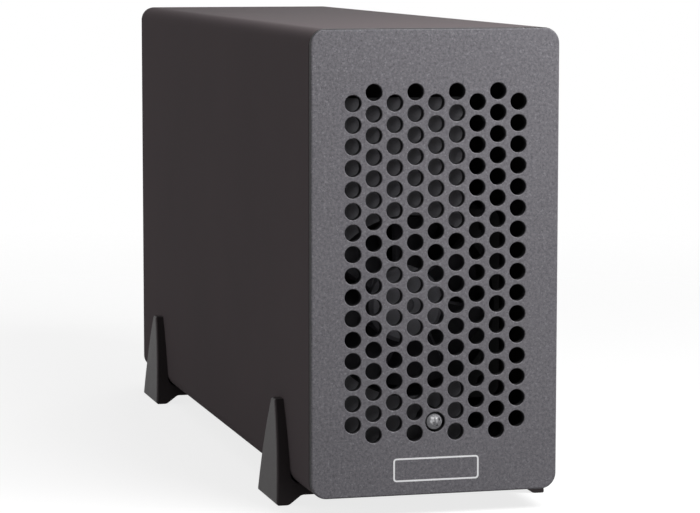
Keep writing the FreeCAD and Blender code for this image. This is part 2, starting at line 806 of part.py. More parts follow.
def make_front_panel_fixings():
    """Four studs pressed into the panel, and the nuts that draw it against the flange."""
    studs = []
    nuts = []
    length = "stud_sink + flange_thick + nut_thick + stud_tail"
    for i, (x, z) in enumerate(four_ways(STUD_ACROSS, STUD_UP)):
        up = f"{MIDDLE_UP} + {z}"
        studs.append(rod(f"stud_{i}", "y", x, f"{PANEL_BACK} - stud_sink", up, "stud_diameter", length))
        seat = f"{PANEL_BACK} + flange_thick"
        blank = hexagon(f"nut_blank_{i}", "y", x, seat, up, "nut_across_flats", "nut_thick")
        bore = rod(f"nut_bore_{i}", "y", x, seat, up, "stud_diameter + 2 * thread_clearance", "nut_thick")
        nuts.append(cut(f"nut_{i}", blank, bore))
    piece(gather("studs", studs), "front_panel_studs")
    piece(gather("nuts", nuts), "front_panel_nuts")


def make_foot(name, right, row):
    """A moulded foot: a fin up the side of the case, a sole that stands out, and a base under the case."""
    owner = body(f"{name}_body")
    section = Outline(owner, "XZ_Plane", f"{name}_section")
    section.polygon((
        ("-foot_top_thick", "foot_rise"),
        ("-foot_sole_thick", "-foot_drop"),
        ("-foot_heel", "-foot_drop"),
        ("foot_instep", "-foot_base_thick"),
        ("foot_base_reach", "-foot_base_thick"),
        ("foot_base_reach", "0"),
        ("0", "0"),
        ("0", "foot_rise"),
    ))
    block = pad(owner, section, "2 * foot_sole_half", both=True)

    def corner(x, z):
        return lambda edge: (runs_along(edge, Y_WAY) and lies_at(edge, "x", number(x))
                             and lies_at(edge, "z", number(z)))

    hugged = round_edges(owner, block, "corner_radius - sleeve_wall", corner("0", "0"))
    heel = corner("-foot_heel", "-foot_drop")
    instep = corner("foot_instep", "-foot_base_thick")
    bent = round_edges(owner, hugged, "foot_bend_round", lambda edge: heel(edge) or instep(edge))
    side = Outline(owner, "YZ_Plane", f"{name}_side")
    side.rectangle("-2 * foot_sole_half", "-2 * foot_rise", "4 * foot_sole_half", "4 * foot_rise")
    foot_side(side)
    trimmed = pocket(owner, side)
    outer = number("-foot_sole_thick")
    inner = number("-foot_top_thick")
    round_edges(owner, trimmed, "foot_edge_round",
                lambda edge: (edge.BoundBox.XMin < outer / 2
                              and edge.BoundBox.XMax < inner + SAME_PLACE))
    hole = Outline(owner, "XY_Plane", f"{name}_hole", away="-foot_base_thick")
    hole.circle("foot_screw_across", "0", SCREW_HOLE)
    pocket(owner, hole, "2 * foot_base_thick", back=True)
    sink = Outline(owner, "XY_Plane", f"{name}_sink", away="-foot_base_thick")
    sink.circle("foot_screw_across", "0", "screw_head_diameter + 2 * screw_clearance")
    owner.Tip = pocket(owner, sink, "screw_head_thick", back=True)
    across = "case_width / 2" if right else "-case_width / 2"
    turn = Rotation(Vector(0, 0, 1), 180 if right else 0)
    place(owner, across, row, "foot_drop", turn)
    return piece(owner, name)


def foot_side(outline):
    """The foot seen from the side: narrow at the top, spreading in two bowed edges to the sole."""
    top = number("foot_top_half")
    sole = number("foot_sole_half")
    rise = number("foot_rise")
    drop = -number("foot_drop")
    radius = number("foot_side_radius")
    chord = Vector(sole - top, drop - rise, 0)
    half = chord.Length / 2
    inward = Vector(chord.y, -chord.x, 0).normalize()
    middle = Vector(top, rise, 0) + chord / 2
    centre = middle + inward * math.sqrt(radius ** 2 - half ** 2)
    start = math.atan2(drop - centre.y, sole - centre.x)
    end = math.atan2(rise - centre.y, top - centre.x)
    sketch = outline.sketch
    first = sketch.GeometryCount
    right = Part.Circle(centre, Vector(0, 0, 1), radius)
    left = Part.Circle(Vector(-centre.x, centre.y, 0), Vector(0, 0, 1), radius)
    sketch.addGeometry([
        Part.LineSegment(Vector(-sole, drop, 0), Vector(sole, drop, 0)),
        Part.ArcOfCircle(right, start, end),
        Part.LineSegment(Vector(top, rise, 0), Vector(-top, rise, 0)),
        Part.ArcOfCircle(left, math.pi - end, math.pi - start),
    ])
    for i in range(4):
        sketch.addConstraint(Constraint("Coincident", first + i, 2, first + (i + 1) % 4, 1))
    outline.pin(first, 1, "-foot_sole_half", "-foot_drop")
    outline.pin(first, 2, "foot_sole_half", "-foot_drop")
    outline.pin(first + 2, 1, "foot_top_half", "foot_rise")
    outline.pin(first + 2, 2, "-foot_top_half", "foot_rise")
    for arc in (first + 1, first + 3):
        outline.fix("Radius", (arc,), "foot_side_radius")


def make_feet():
    """Two feet a side, the right ones turned round, and a screw up through each into the sleeve."""
    rows = (("front", f"{FRONT} + foot_inset"), ("rear", f"{REAR} - foot_inset"))
    screws = []
    for end, row in rows:
        for side in ("left", "right"):
            make_foot(f"foot_{end}_{side}", side == "right", row)
            sign = "" if side == "right" else "-"
            across = f"{sign}(case_width / 2 - foot_screw_across)"
            seat = "foot_drop - foot_base_thick + screw_head_thick"
            length = "foot_base_thick - screw_head_thick + sleeve_wall"
            screws.append(pan_screw(f"foot_screw_{end}_{side}", "z", (across, row, seat), -1, length))
    piece(gather("foot_screw_set", screws), "foot_screws")


def make_thumbscrew_blocks():
    """Two tapped blocks under the roof of the sleeve, which the thumbscrews draw against."""
    blocks = []
    rear = f"{REAR_INSIDE} - rear_gap"
    high = "foot_drop + case_height - sleeve_wall"
    for side, sign in (("left", "-"), ("right", "")):
        middle = f"{sign}{THUMB_ACROSS}"
        blank = rounded_box(f"block_blank_{side}", Y_WAY, "block_round",
                            f"{middle} - block_width / 2", f"{rear} - block_length", f"{high} - block_drop",
                            "block_width", "block_length", "block_drop")
        bore = rod(f"block_bore_{side}", "y", middle, f"{rear} - block_length", THUMB_UP,
                   "thumb_shank_diameter + 2 * running_gap", "block_length")
        blocks.append(cut(f"block_{side}", blank, bore))
    piece(gather("blocks", blocks), "thumbscrew_blocks")


def make_tray():
    """The cage's folded floor: low sides, and two tabs turned up at the back for the rear panel."""
    owner = body("tray_body")
    half = TRAY_HALF
    section = Outline(owner, "XZ_Plane", "tray_section")
    section.polygon((
        (f"-{half}", "tray_flange_up"),
        (f"-{half}", "0"),
        (half, "0"),
        (half, "tray_flange_up"),
        (f"{half} - tray_thick", "tray_flange_up"),
        (f"{half} - tray_thick", "tray_thick"),
        (f"-({half} - tray_thick)", "tray_thick"),
        (f"-({half} - tray_thick)", "tray_flange_up"),
    ))
    channel = pad(owner, section, TRAY_LENGTH, back=True)
    outside = round_edges(owner, channel, "tray_bend_radius",
                          lambda edge: runs_along(edge, Y_WAY) and lies_at(edge, "z", 0))
    thick = number("tray_thick")
    round_edges(owner, outside, "tray_bend_radius - tray_thick",
                lambda edge: (runs_along(edge, Y_WAY) and lies_at(edge, "z", thick)
                              and abs(abs(edge.BoundBox.XMin) - number(half) + thick) < SAME_PLACE))
    tabs = Outline(owner, "XZ_Plane", "tray_tabs", away=f"tray_thick - {TRAY_LENGTH}")
    for across in (TAB_LEFT, TAB_RIGHT):
        tabs.rectangle(f"{across} - tray_tab_half", "tray_thick / 2", "2 * tray_tab_half",
                       "tray_tab_up + tray_thick / 2")
    pad(owner, tabs, "tray_thick", back=True)
    taps = Outline(owner, "XZ_Plane", "tray_tab_holes", away=f"tray_thick - {TRAY_LENGTH}")
    for across in (TAB_LEFT, TAB_RIGHT):
        taps.circle(across, "tray_thick + tray_screw_up", "screw_diameter + 2 * thread_clearance")
    pocket(owner, taps, "2 * tray_thick")
    holes = Outline(owner, "XY_Plane", "tray_floor_holes")
    for x, y in standoff_places(TRAY_LENGTH):
        holes.circle(x, y, "standoff_stem_diameter + 2 * thread_clearance")
    for x in bracket_screw_places():
        holes.circle(x, "bracket_thick + bracket_flange_reach / 2", "screw_diameter + 2 * thread_clearance")
    owner.Tip = pocket(owner, holes, "2 * tray_thick", back=True)
    return piece(place(owner, "0", BRACKET_FRONT, TRAY_UNDER), "base_tray")


def standoff_places(rear):
    """Where the board's standoffs stand, from the rear end of what carries them."""
    rows = range(int(number("standoff_rows")))
    sides = (f"{BOARD_LEFT} + standoff_board_inset", f"{CARD_ACROSS} - standoff_beside_card")
    return [(x, f"{rear} - standoff_ahead - {row} * standoff_row_pitch") for row in rows for x in sides]


def bracket_screw_places():
    """Where the two screws of the fan bracket's foot stand across the tray."""
    middle = f"((bracket_right_across - {TRAY_HALF}) / 2)"
    return [f"{middle} - bracket_screw_spread / 2", f"{middle} + bracket_screw_spread / 2"]


def make_rear_panel():
    """The plate that closes the back: vents, ports, the card's window and the holes of its screws."""
    owner = body("rear_panel_body")
    outline = Outline(owner, "XZ_Plane", "rear_outline")
    outline.rounded_rectangle("case_width", "case_height", "corner_radius")
    plate = pad(owner, outline, "rear_thick", back=True)
    thick = number("rear_thick")
    round_edges(owner, plate, "rear_edge_round", lambda edge: lies_at(edge, "y", thick))
    low = "-case_height / 2"
    board_up = f"({BOARD_TOP} - {MIDDLE_UP})"
    window = Outline(owner, "XZ_Plane", "rear_card_window")
    window.rectangle(f"{PAN_LEFT} + pan_thick", f"{PAN_LOW} - {MIDDLE_UP} + pan_thick",
                     f"{PAN_RIGHT} - {PAN_LEFT} - 2 * pan_thick", f"{PAN_TOP} - {PAN_LOW} - 2 * pan_thick")
    pocket(owner, window)
    ports = Outline(owner, "XZ_Plane", "rear_port_holes")
    for across in (USB_LEFT, USB_RIGHT):
        ports.obround(across, f"{board_up} + usb_height / 2", "usb_width + 2 * port_clearance",
                      "usb_height + 2 * port_clearance")
    ports.circle(JACK_ACROSS, f"{board_up} + jack_height / 2", "jack_nose_diameter + 2 * port_clearance")
    pocket(owner, ports)
    screws = Outline(owner, "XZ_Plane", "rear_screw_holes")
    for across in (TAB_LEFT, TAB_RIGHT):
        screws.circle(across, f"{FLOOR} - {MIDDLE_UP} + tray_screw_up", SCREW_HOLE)
    for across in (f"-{THUMB_ACROSS}", THUMB_ACROSS):
        screws.circle(across, f"{THUMB_UP} - {MIDDLE_UP}", "ferrule_diameter + 2 * thread_clearance")
    for up in rivet_places():
        screws.circle(f"{PAN_LEFT} - pan_flange_width / 2", f"{up} - {MIDDLE_UP}",
                      "rivet_diameter + 2 * thread_clearance")
    pocket(owner, screws)
    vent = Outline(owner, "XZ_Plane", "rear_vent")
    vent.obround(f"{VENT_LEFT} + {VENT_LENGTH} / 2", f"{low} + vent_low_up", VENT_LENGTH, "vent_height")
    slot = pocket(owner, vent)
    grid(owner, slot, vent, f"{VENT_LENGTH} + vent_column_gap", "2", "vent_pitch", "vent_rows")
    return piece(place(owner, "0", REAR_INSIDE, MIDDLE_UP), "rear_panel")


def rivet_places():
    """How high the two rivets of the slot pan sit."""
    return [f"{PAN_LOW} + rivet_inset", f"{PAN_TOP} - rivet_inset"]


def make_rear_panel_screws():
    """Two screws through the rear panel into the tray's tabs."""
    screws = []
    for side, across in (("left", TAB_LEFT), ("right", TAB_RIGHT)):
        seat = (across, REAR, f"{FLOOR} + tray_screw_up")
        screws.append(pan_screw(f"rear_screw_{side}", "y", seat, 1, "rear_thick + tray_thick + screw_tail"))
    piece(gather("rear_screw_set", screws), "rear_panel_screws")


def make_slot_frame():
    """A pan ahead of the rear panel, with the card's window in its floor and one riveted flange."""
    owner = body("slot_frame_body")
    width = f"({PAN_RIGHT} - {PAN_LEFT})"
    height = f"({PAN_TOP} - {PAN_LOW})"
    outline = Outline(owner, "XZ_Plane", "pan_outline")
    outline.rectangle("0", "0", width, height)
    block = pad(owner, outline, "pan_recess", back=True)
    round_edges(owner, block, "pan_round", lambda edge: runs_along(edge, Z_WAY) and lies_at(edge, "y", 0))
    hollow = Outline(owner, "XZ_Plane", "pan_hollow", away="-pan_recess")
    hollow.rectangle("pan_thick", "pan_thick", f"{width} - 2 * pan_thick", f"{height} - 2 * pan_thick")
    pocket(owner, hollow, "pan_recess - pan_thick", back=True)
    flange = Outline(owner, "XZ_Plane", "pan_flange", away="pan_thick - pan_recess")
    flange.rectangle("-pan_flange_width", "0", "pan_flange_width + pan_thick / 2", height)
    pad(owner, flange, "pan_thick", back=True)
    openings = Outline(owner, "XZ_Plane", "pan_openings")
    openings.rectangle(f"{width} / 2 - pan_window_width / 2", "pan_window_low", "pan_window_width",
                       f"{height} - pan_window_low - pan_window_high")
    pocket(owner, openings, "2 * pan_thick")
    rivets = Outline(owner, "XZ_Plane", "pan_rivet_holes")
    for up in rivet_places():
        rivets.circle("-pan_flange_width / 2", f"{up} - {PAN_LOW}", "rivet_diameter + 2 * thread_clearance")
    pocket(owner, rivets)
    tap = Outline(owner, "XY_Plane", "pan_screw_hole", away=height)
    tap.circle(f"{COVER_MIDDLE} - {PAN_LEFT}", cover_screw_back("-cover_thick"),
               "screw_diameter + 2 * thread_clearance")
    owner.Tip = pocket(owner, tap, "2 * pan_thick")
    return piece(place(owner, PAN_LEFT, PAN_FACE, PAN_LOW), "slot_frame")


def cover_screw_back(start):
    """How far behind a start the cover's screw stands."""
    return f"({start} + cover_tab_reach - cover_notch_depth + screw_diameter / 2)"


def make_slot_frame_rivets():
    """Two rivets that hold the pan's flange to the rear panel."""
    rivets = []
    across = f"{PAN_LEFT} - pan_flange_width / 2"
    grip = "pan_thick + rear_thick"
    for i, up in enumerate(rivet_places()):
        stem = rod(f"rivet_stem_{i}", "y", across, f"{REAR_INSIDE} - pan_thick", up, "rivet_diameter", grip)
        head = rod(f"rivet_head_{i}", "y", across, REAR, up, "rivet_head_diameter", "rivet_head_thick")
        clench = rod(f"rivet_clench_{i}", "y", across, f"{REAR_INSIDE} - pan_thick - rivet_head_thick", up,
                     "rivet_head_diameter", "rivet_head_thick")
        rivets.append(join(f"rivet_{i}", stem, head, clench))
    piece(gather("rivets", rivets), "slot_frame_rivets")


def make_slot_cover():
    """The blank plate over the card's window, with its tail in the tray and its tab bent over the pan."""
    owner = body("slot_cover_body")
    face = Outline(owner, "XZ_Plane", "cover_face")
    tail_left = "(cover_width - cover_tail_width) / 2"
    tail_right = "(cover_width + cover_tail_width) / 2"
    face.polygon((
        (tail_left, "0"),
        (tail_right, "0"),
        (tail_right, "cover_tail_height"),
        ("cover_width", "cover_tail_height + cover_shoulder"),
        ("cover_width", COVER_HEIGHT),
        ("0", COVER_HEIGHT),
        ("0", "cover_tail_height + cover_shoulder"),
        (tail_left, "cover_tail_height"),
    ))
    pad(owner, face, "cover_thick", back=True)
    tab = Outline(owner, "XY_Plane", "cover_tab", away=f"{COVER_HEIGHT} - cover_thick")
    notch_left = "(cover_width - cover_notch_width) / 2"
    notch_right = "(cover_width + cover_notch_width) / 2"
    notch_end = "cover_tab_reach - cover_notch_depth"
    tab.polygon((
        ("0", "cover_thick / 2"),
        ("cover_width", "cover_thick / 2"),
        ("cover_width", "cover_tab_reach"),
        (notch_right, "cover_tab_reach"),
        (notch_right, notch_end),
        (notch_left, notch_end),
        (notch_left, "cover_tab_reach"),
        ("0", "cover_tab_reach"),
    ))
    bent = pad(owner, tab, "cover_thick")
    top = number(COVER_HEIGHT)
    owner.Tip = round_edges(owner, bent, "cover_bend_radius",
                            lambda edge: (runs_along(edge, X_WAY) and lies_at(edge, "y", 0)
                                          and lies_at(edge, "z", top)))
    return piece(place(owner, COVER_LEFT, f"{PAN_FACE} - cover_thick", COVER_LOW), "slot_cover")


def make_slot_cover_screw():
    """The screw that holds the cover's tab down on the pan."""
    back = cover_screw_back(f"{PAN_FACE} - cover_thick")
    seat = (COVER_MIDDLE, back, COVER_TOP)
    screw = pan_screw("cover_screw", "z", seat, 1, "cover_thick + pan_thick + screw_tail")
    piece(screw, "slot_cover_screw")


def make_thumbscrew(side, sign):
    """A turned thumbscrew: shank, collar and a fluted knob with a driver slot."""
    owner = body(f"thumbscrew_{side}_body")
    outline = Outline(owner, "XY_Plane", f"thumb_{side}_section")
    neck = "rear_thick + thumb_shank_reach"
    knob = f"{neck} + ferrule_flange_thick + seat_gap"
    shank = "thumb_shank_diameter / 2"
    collar = "thumb_knob_diameter / 2 - thumb_collar_inset"
    rim = "thumb_knob_diameter / 2"
    end = f"{knob} + thumb_collar_length + thumb_knob_length"
    outline.polygon((
        ("0", "0"),
        (f"{shank} - thumb_edge_bevel", "0"),
        (shank, "thumb_edge_bevel"),
        (shank, knob),
        (collar, knob),
        (collar, f"{knob} + thumb_collar_length"),
        (f"{rim} - thumb_edge_bevel", f"{knob} + thumb_collar_length"),
        (rim, f"{knob} + thumb_collar_length + thumb_edge_bevel"),
        (rim, f"{end} - thumb_edge_bevel"),
        (f"{rim} - thumb_edge_bevel", end),
        ("0", end),
    ))
    revolve(owner, outline, "V_Axis")
    flute = Outline(owner, "XZ_Plane", f"thumb_{side}_flute", away=f"-({end})")
    flute.circle(rim, "0", "2 * thumb_groove_depth")
    groove = pocket(owner, flute, "thumb_knob_length", back=True)
    ring_of(owner, groove, "Y_Axis", "thumb_groove_count")
    driver = Outline(owner, "XZ_Plane", f"thumb_{side}_driver", away=f"-({end})")
    driver.rectangle("-thumb_knob_diameter", "-thumb_slot_width / 2", "2 * thumb_knob_diameter",
                     "thumb_slot_width")
    owner.Tip = pocket(owner, driver, "thumb_slot_depth", back=True)
    place(owner, f"{sign}{THUMB_ACROSS}", f"{REAR_INSIDE} - thumb_shank_reach", THUMB_UP)
    return piece(owner, f"thumbscrew_{side}")


def make_ferrules():
    """Flanged bushes pressed into the rear panel, in which the thumbscrews turn."""
    ferrules = []
    for side, sign in (("left", "-"), ("right", "")):
        across = f"{sign}{THUMB_ACROSS}"
        stem = rod(f"ferrule_stem_{side}", "y", across, REAR_INSIDE, THUMB_UP, "ferrule_diameter",
                   "rear_thick")
        rim = rod(f"ferrule_rim_{side}", "y", across, REAR, THUMB_UP, "ferrule_flange_diameter",
                  "ferrule_flange_thick")
        bore = rod(f"ferrule_bore_{side}", "y", across, REAR_INSIDE, THUMB_UP,
                   "thumb_shank_diameter + 2 * running_gap", "rear_thick + ferrule_flange_thick")
        ferrules.append(cut(f"ferrule_{side}", join(f"ferrule_blank_{side}", stem, rim), bore))
    piece(gather("ferrules", ferrules), "thumbscrew_ferrules")


def make_fan_bracket():
    """A folded sheet behind the grille: it carries the fan by its left corners and holds the lamp."""
    owner = body("fan_bracket_body")
    height = f"(foot_drop + bracket_top_up - {FLOOR})"
    face = Outline(owner, "XZ_Plane", "bracket_face")
    face.rectangle(BRACKET_LEFT, "0", f"bracket_right_across - {BRACKET_LEFT}", height)
    plate = pad(owner, face, "bracket_thick", back=True)
    high = number(height)
    round_edges(owner, plate, "bracket_corner_round",
                lambda edge: (runs_along(edge, Y_WAY) and lies_at(edge, "z", high)
                              and lies_at(edge, "x", number("bracket_right_across"))))
    foot = Outline(owner, "XY_Plane", "bracket_foot")
    foot.rectangle(f"{BRACKET_LEFT} + tray_bend_radius", "bracket_thick / 2",
                   f"bracket_right_across - {BRACKET_LEFT} - tray_bend_radius",
                   "bracket_thick / 2 + bracket_flange_reach")
    pad(owner, foot, "bracket_thick")
    side = Outline(owner, "YZ_Plane", "bracket_side", away=BRACKET_LEFT)
    above_fan = f"({FAN_UP} + fan_size / 2 + bracket_above_fan - {FLOOR})"
    side.rectangle("bracket_thick / 2", above_fan, "bracket_thick / 2 + bracket_flange_reach",
                   f"{height} - tray_bend_radius - {above_fan}")
    pad(owner, side, "bracket_thick")
    opening = Outline(owner, "XZ_Plane", "bracket_opening")
    opening.circle(FAN_ACROSS, f"{FAN_UP} - {FLOOR}", f"{FAN_BORE} + 2 * bracket_opening_gap")
    pocket(owner, opening, "2 * bracket_thick")
    holes = Outline(owner, "XZ_Plane", "bracket_holes")
    for sign in ("-", "+"):
        holes.circle(FAN_SCREW_ACROSS, f"{FAN_UP} - {FLOOR} {sign} {FAN_HOLE_PITCH} / 2",
                     "fan_screw_diameter + 2 * screw_clearance")
    holes.circle("0", f"{LED_UP} - {FLOOR}", "led_holder_stem_diameter + 2 * thread_clearance")
    pocket(owner, holes, "2 * bracket_thick")
    corner = Outline(owner, "XY_Plane", "bracket_corner", away="-tray_thick")
    corner.rectangle(BRACKET_LEFT, "0", "tray_bend_radius", "bracket_thick")
    pocket(owner, corner, "tray_thick + tray_bend_radius", back=True)
    screws = Outline(owner, "XY_Plane", "bracket_screw_holes")
    for x in bracket_screw_places():
        screws.circle(x, "bracket_thick + bracket_flange_reach / 2", SCREW_HOLE)
    owner.Tip = pocket(owner, screws, "2 * bracket_thick", back=True)
    return piece(place(owner, "0", BRACKET_FRONT, FLOOR), "fan_bracket")


def make_fan_bracket_screws():
    """Two screws down through the bracket's foot into the tray."""
    screws = []
    for i, x in enumerate(bracket_screw_places()):
        seat = (x, f"{BRACKET_FRONT} + bracket_thick + bracket_flange_reach / 2", f"{FLOOR} + bracket_thick")
        screws.append(pan_screw(f"bracket_screw_{i}", "z", seat, 1, "bracket_thick + tray_thick"))
    piece(gather("bracket_screw_set", screws), "fan_bracket_screws")


def make_fan_frame():
    """The fan's square frame: a round bore, waisted corners, and struts to the motor base and its tube."""
    owner = body("fan_frame_body")
    outline = Outline(owner, "XZ_Plane", "fan_outline")
    outline.rounded_rectangle("fan_size", "fan_size", "fan_corner_round")
    pad(owner, outline, "fan_depth", back=True)
    waist = Outline(owner, "XZ_Plane", "fan_waist", away="-fan_flange_thick")
    waist.rounded_rectangle("2 * fan_size", "2 * fan_size", "fan_corner_round")
    waist.circle("0", "0", f"{FAN_BORE} + 2 * fan_tunnel_wall")
    pocket(owner, waist, "fan_depth - 2 * fan_flange_thick")
    bore = Outline(owner, "XZ_Plane", "fan_bore")
    bore.circle("0", "0", FAN_BORE)
    pocket(owner, bore)
    base = Outline(owner, "XZ_Plane", "fan_base", away="fan_base_thick - fan_depth")
    base.circle("0", "0", "fan_base_diameter")
    pad(owner, base, "fan_base_thick", back=True)
    span = f"({FAN_BORE} + 2 * fan_strut_sink)"
    for name, width, height in (("level", span, "fan_strut_width"), ("upright", "fan_strut_width", span)):
        strut = Outline(owner, "XZ_Plane", f"fan_strut_{name}", away="fan_base_thick - fan_depth")
        strut.rectangle(f"-({width}) / 2", f"-({height}) / 2", width, height)
        pad(owner, strut, "fan_base_thick", back=True)
    tube = Outline(owner, "XZ_Plane", "fan_tube", away="fan_base_thick - fan_depth")
    tube.circle("0", "0", "fan_tube_diameter")
    pad(owner, tube, FAN_TUBE)
    seat = Outline(owner, "XZ_Plane", "fan_bearing_seat", away="fan_end_wall - fan_depth")
    seat.circle("0", "0", "bearing_diameter + 2 * thread_clearance")
    pocket(owner, seat, "fan_depth", back=True)
    hole = Outline(owner, "XZ_Plane", "fan_hole")
    hole.circle(f"-{FAN_HOLE_PITCH} / 2", f"-{FAN_HOLE_PITCH} / 2", "fan_hole_diameter")
    drilled = pocket(owner, hole)
    grid(owner, drilled, hole, FAN_HOLE_PITCH, "2", FAN_HOLE_PITCH, "2")
    return piece(place(owner, FAN_ACROSS, FAN_FRONT, FAN_UP), "fan_frame")


def make_fan_motor():
    """The plain bearing in the tube, and the stator's poles round it."""
    bearing_back = f"{FAN_BACK} - fan_end_wall"
    length = f"{FAN_TUBE} + fan_base_thick - fan_end_wall"
    bush = rod("bearing_bush", "y", FAN_ACROSS, f"{bearing_back} - ({length})", FAN_UP, "bearing_diameter",
               length)
    bore = rod("bearing_bore", "y", FAN_ACROSS, f"{bearing_back} - ({length})", FAN_UP,
               "shaft_diameter + 2 * running_gap", length)
    piece(cut("bearing", bush, bore), "fan_bearing")
    owner = body("fan_stator_body")
    stack = Outline(owner, "XZ_Plane", "stator_stack")
    stack.circle("0", "0", "stator_diameter")
    stack.circle("0", "0", "fan_tube_diameter + 2 * thread_clearance")
    pad(owner, stack, "stator_length")
    slot = Outline(owner, "XZ_Plane", "stator_slot")
    slot.rectangle("stator_diameter / 2 - stator_slot_depth", "-stator_slot_width / 2", "stator_diameter",
                   "stator_slot_width")
    ring_of(owner, pocket(owner, slot), "Y_Axis", "stator_poles")
    place(owner, FAN_ACROSS, f"{FAN_BACK} - fan_base_thick", FAN_UP)
    piece(owner, "fan_stator")


def make_fan_rotor():
    """The moulded rotor: a cup over the motor and twisted blades, each lofted from its root to its tip."""
    owner = body("fan_rotor_body")
    hub = Outline(owner, "XY_Plane", "hub_section")
    rim = "hub_diameter / 2"
    dimple = "hub_dimple_diameter / 2"
    hub.polygon((
        ("0", "hub_dimple_depth"),
        (dimple, "hub_dimple_depth"),
        (dimple, "0"),
        (f"{rim} - hub_edge_round", "0"),
        (rim, "hub_edge_round"),
        (rim, HUB_LENGTH),
        (f"{rim} - hub_wall", HUB_LENGTH),
        (f"{rim} - hub_wall", "hub_wall"),
        ("hub_boss_diameter / 2", "hub_wall"),
        ("hub_boss_diameter / 2", "hub_wall + hub_boss_length"),
        ("shaft_diameter / 2", "hub_wall + hub_boss_length"),
        ("shaft_diameter / 2", "hub_wall"),
        ("0", "hub_wall"),
    ))
    revolve(owner, hub, "V_Axis")
    root_out = f"{rim} - hub_wall / 2"
    tip_out = f"{FAN_BORE} / 2 - blade_tip_gap"
    middle = f"{HUB_LENGTH} / 2"
    sections = []
    for name, out, chord, pitch in (("root", root_out, "blade_root_chord", "blade_root_pitch"),
                                    ("tip", tip_out, "blade_tip_chord", "blade_tip_pitch")):
        section = Outline(owner, "YZ_Plane", f"blade_{name}", away=out, turn=f"90 + {pitch}")
        section.sketch.setExpression("AttachmentOffset.Base.x", formula(middle))
        section.rectangle(f"-{chord} / 2", "-blade_thick / 2", chord, "blade_thick")
        sections.append(section.sketch)
    blade = owner.newObject("PartDesign::AdditiveLoft", "blade")
    blade.Profile = sections[0]
    blade.Sections = [sections[1]]
    blade.Ruled = False
    ring_of(owner, blade, "Y_Axis", "blade_count")
    sweep = Outline(owner, "XZ_Plane", "blade_sweep")
    sweep.circle("0", "0", "2 * fan_size")
    sweep.circle("0", "0", f"2 * ({tip_out})")
    owner.Tip = pocket(owner, sweep)
    at_rest = Rotation(Y_WAY, number("rotor_turn"))
    place(owner, FAN_ACROSS, f"{FAN_FRONT} + hub_front_gap", FAN_UP, turn=at_rest)
    owner.setExpression("Placement.Rotation.Angle", formula("rotor_turn"))
    piece(owner, "fan_rotor")
    start = f"{FAN_FRONT} + hub_front_gap + hub_wall"
    shaft = rod("shaft", "y", FAN_ACROSS, start, FAN_UP, "shaft_diameter",
                f"{FAN_BACK} - fan_end_wall - shaft_end_gap - ({start})")
    piece(shaft, "fan_shaft")


def make_fan_screws():
    """Two screws from the front of the bracket into the fan's left corners."""
    screws = []
    start = f"{BRACKET_FRONT} - fan_screw_head_thick"
    for i, sign in enumerate("-+"):
        up = f"{FAN_UP} {sign} {FAN_HOLE_PITCH} / 2"
        shank = rod(f"fan_screw_shank_{i}", "y", FAN_SCREW_ACROSS, BRACKET_FRONT, up,
                    "fan_screw_diameter", "fan_screw_length")
        blank = rod(f"fan_screw_blank_{i}", "y", FAN_SCREW_ACROSS, start, up,
                    "fan_screw_head_diameter", "fan_screw_head_thick")
        screws.append(join(f"fan_screw_{i}", shank, blank))
    piece(gather("fan_screw_set", screws), "fan_screws")


def make_lamp():
    """The clear lamp with its domed tip in the grille, and the bush that holds it in the bracket."""
    owner = body("lamp_body")
    section = Outline(owner, "XY_Plane", "lamp_section")
    radius = "led_diameter / 2"
    rim = "led_rim_diameter / 2"
    section.polygon((
        ("0", radius),
        (radius, radius),
        (radius, "led_length - led_rim_thick"),
        (rim, "led_length - led_rim_thick"),
        (rim, "led_length"),
        ("0", "led_length"),
    ))
    revolve(owner, section, "V_Axis")
    ball = doc.addObject("Part::Sphere", "lamp_dome")
    bind(ball, Radius=radius)
    tip = f"{FRONT} - led_proud"
    place(ball, "0", f"{tip} + {radius}", LED_UP)
    place(owner, "0", tip, LED_UP)
    piece(join("lamp", owner, ball), "led_lamp")
    front = f"({BRACKET_FRONT} - led_holder_ahead)"
    cup = rod("lamp_cup", "y", "0", front, LED_UP, "led_holder_diameter", "led_holder_ahead")
    stem = rod("lamp_stem", "y", "0", BRACKET_FRONT, LED_UP, "led_holder_stem_diameter",
               "bracket_thick + led_holder_stem_length")
    bore = rod("lamp_bore", "y", "0", front, LED_UP, "led_rim_diameter + 2 * led_holder_gap",
               f"{tip} + led_length - {front}")
    piece(cut("lamp_holder", join("lamp_holder_blank", cup, stem), bore), "led_holder")


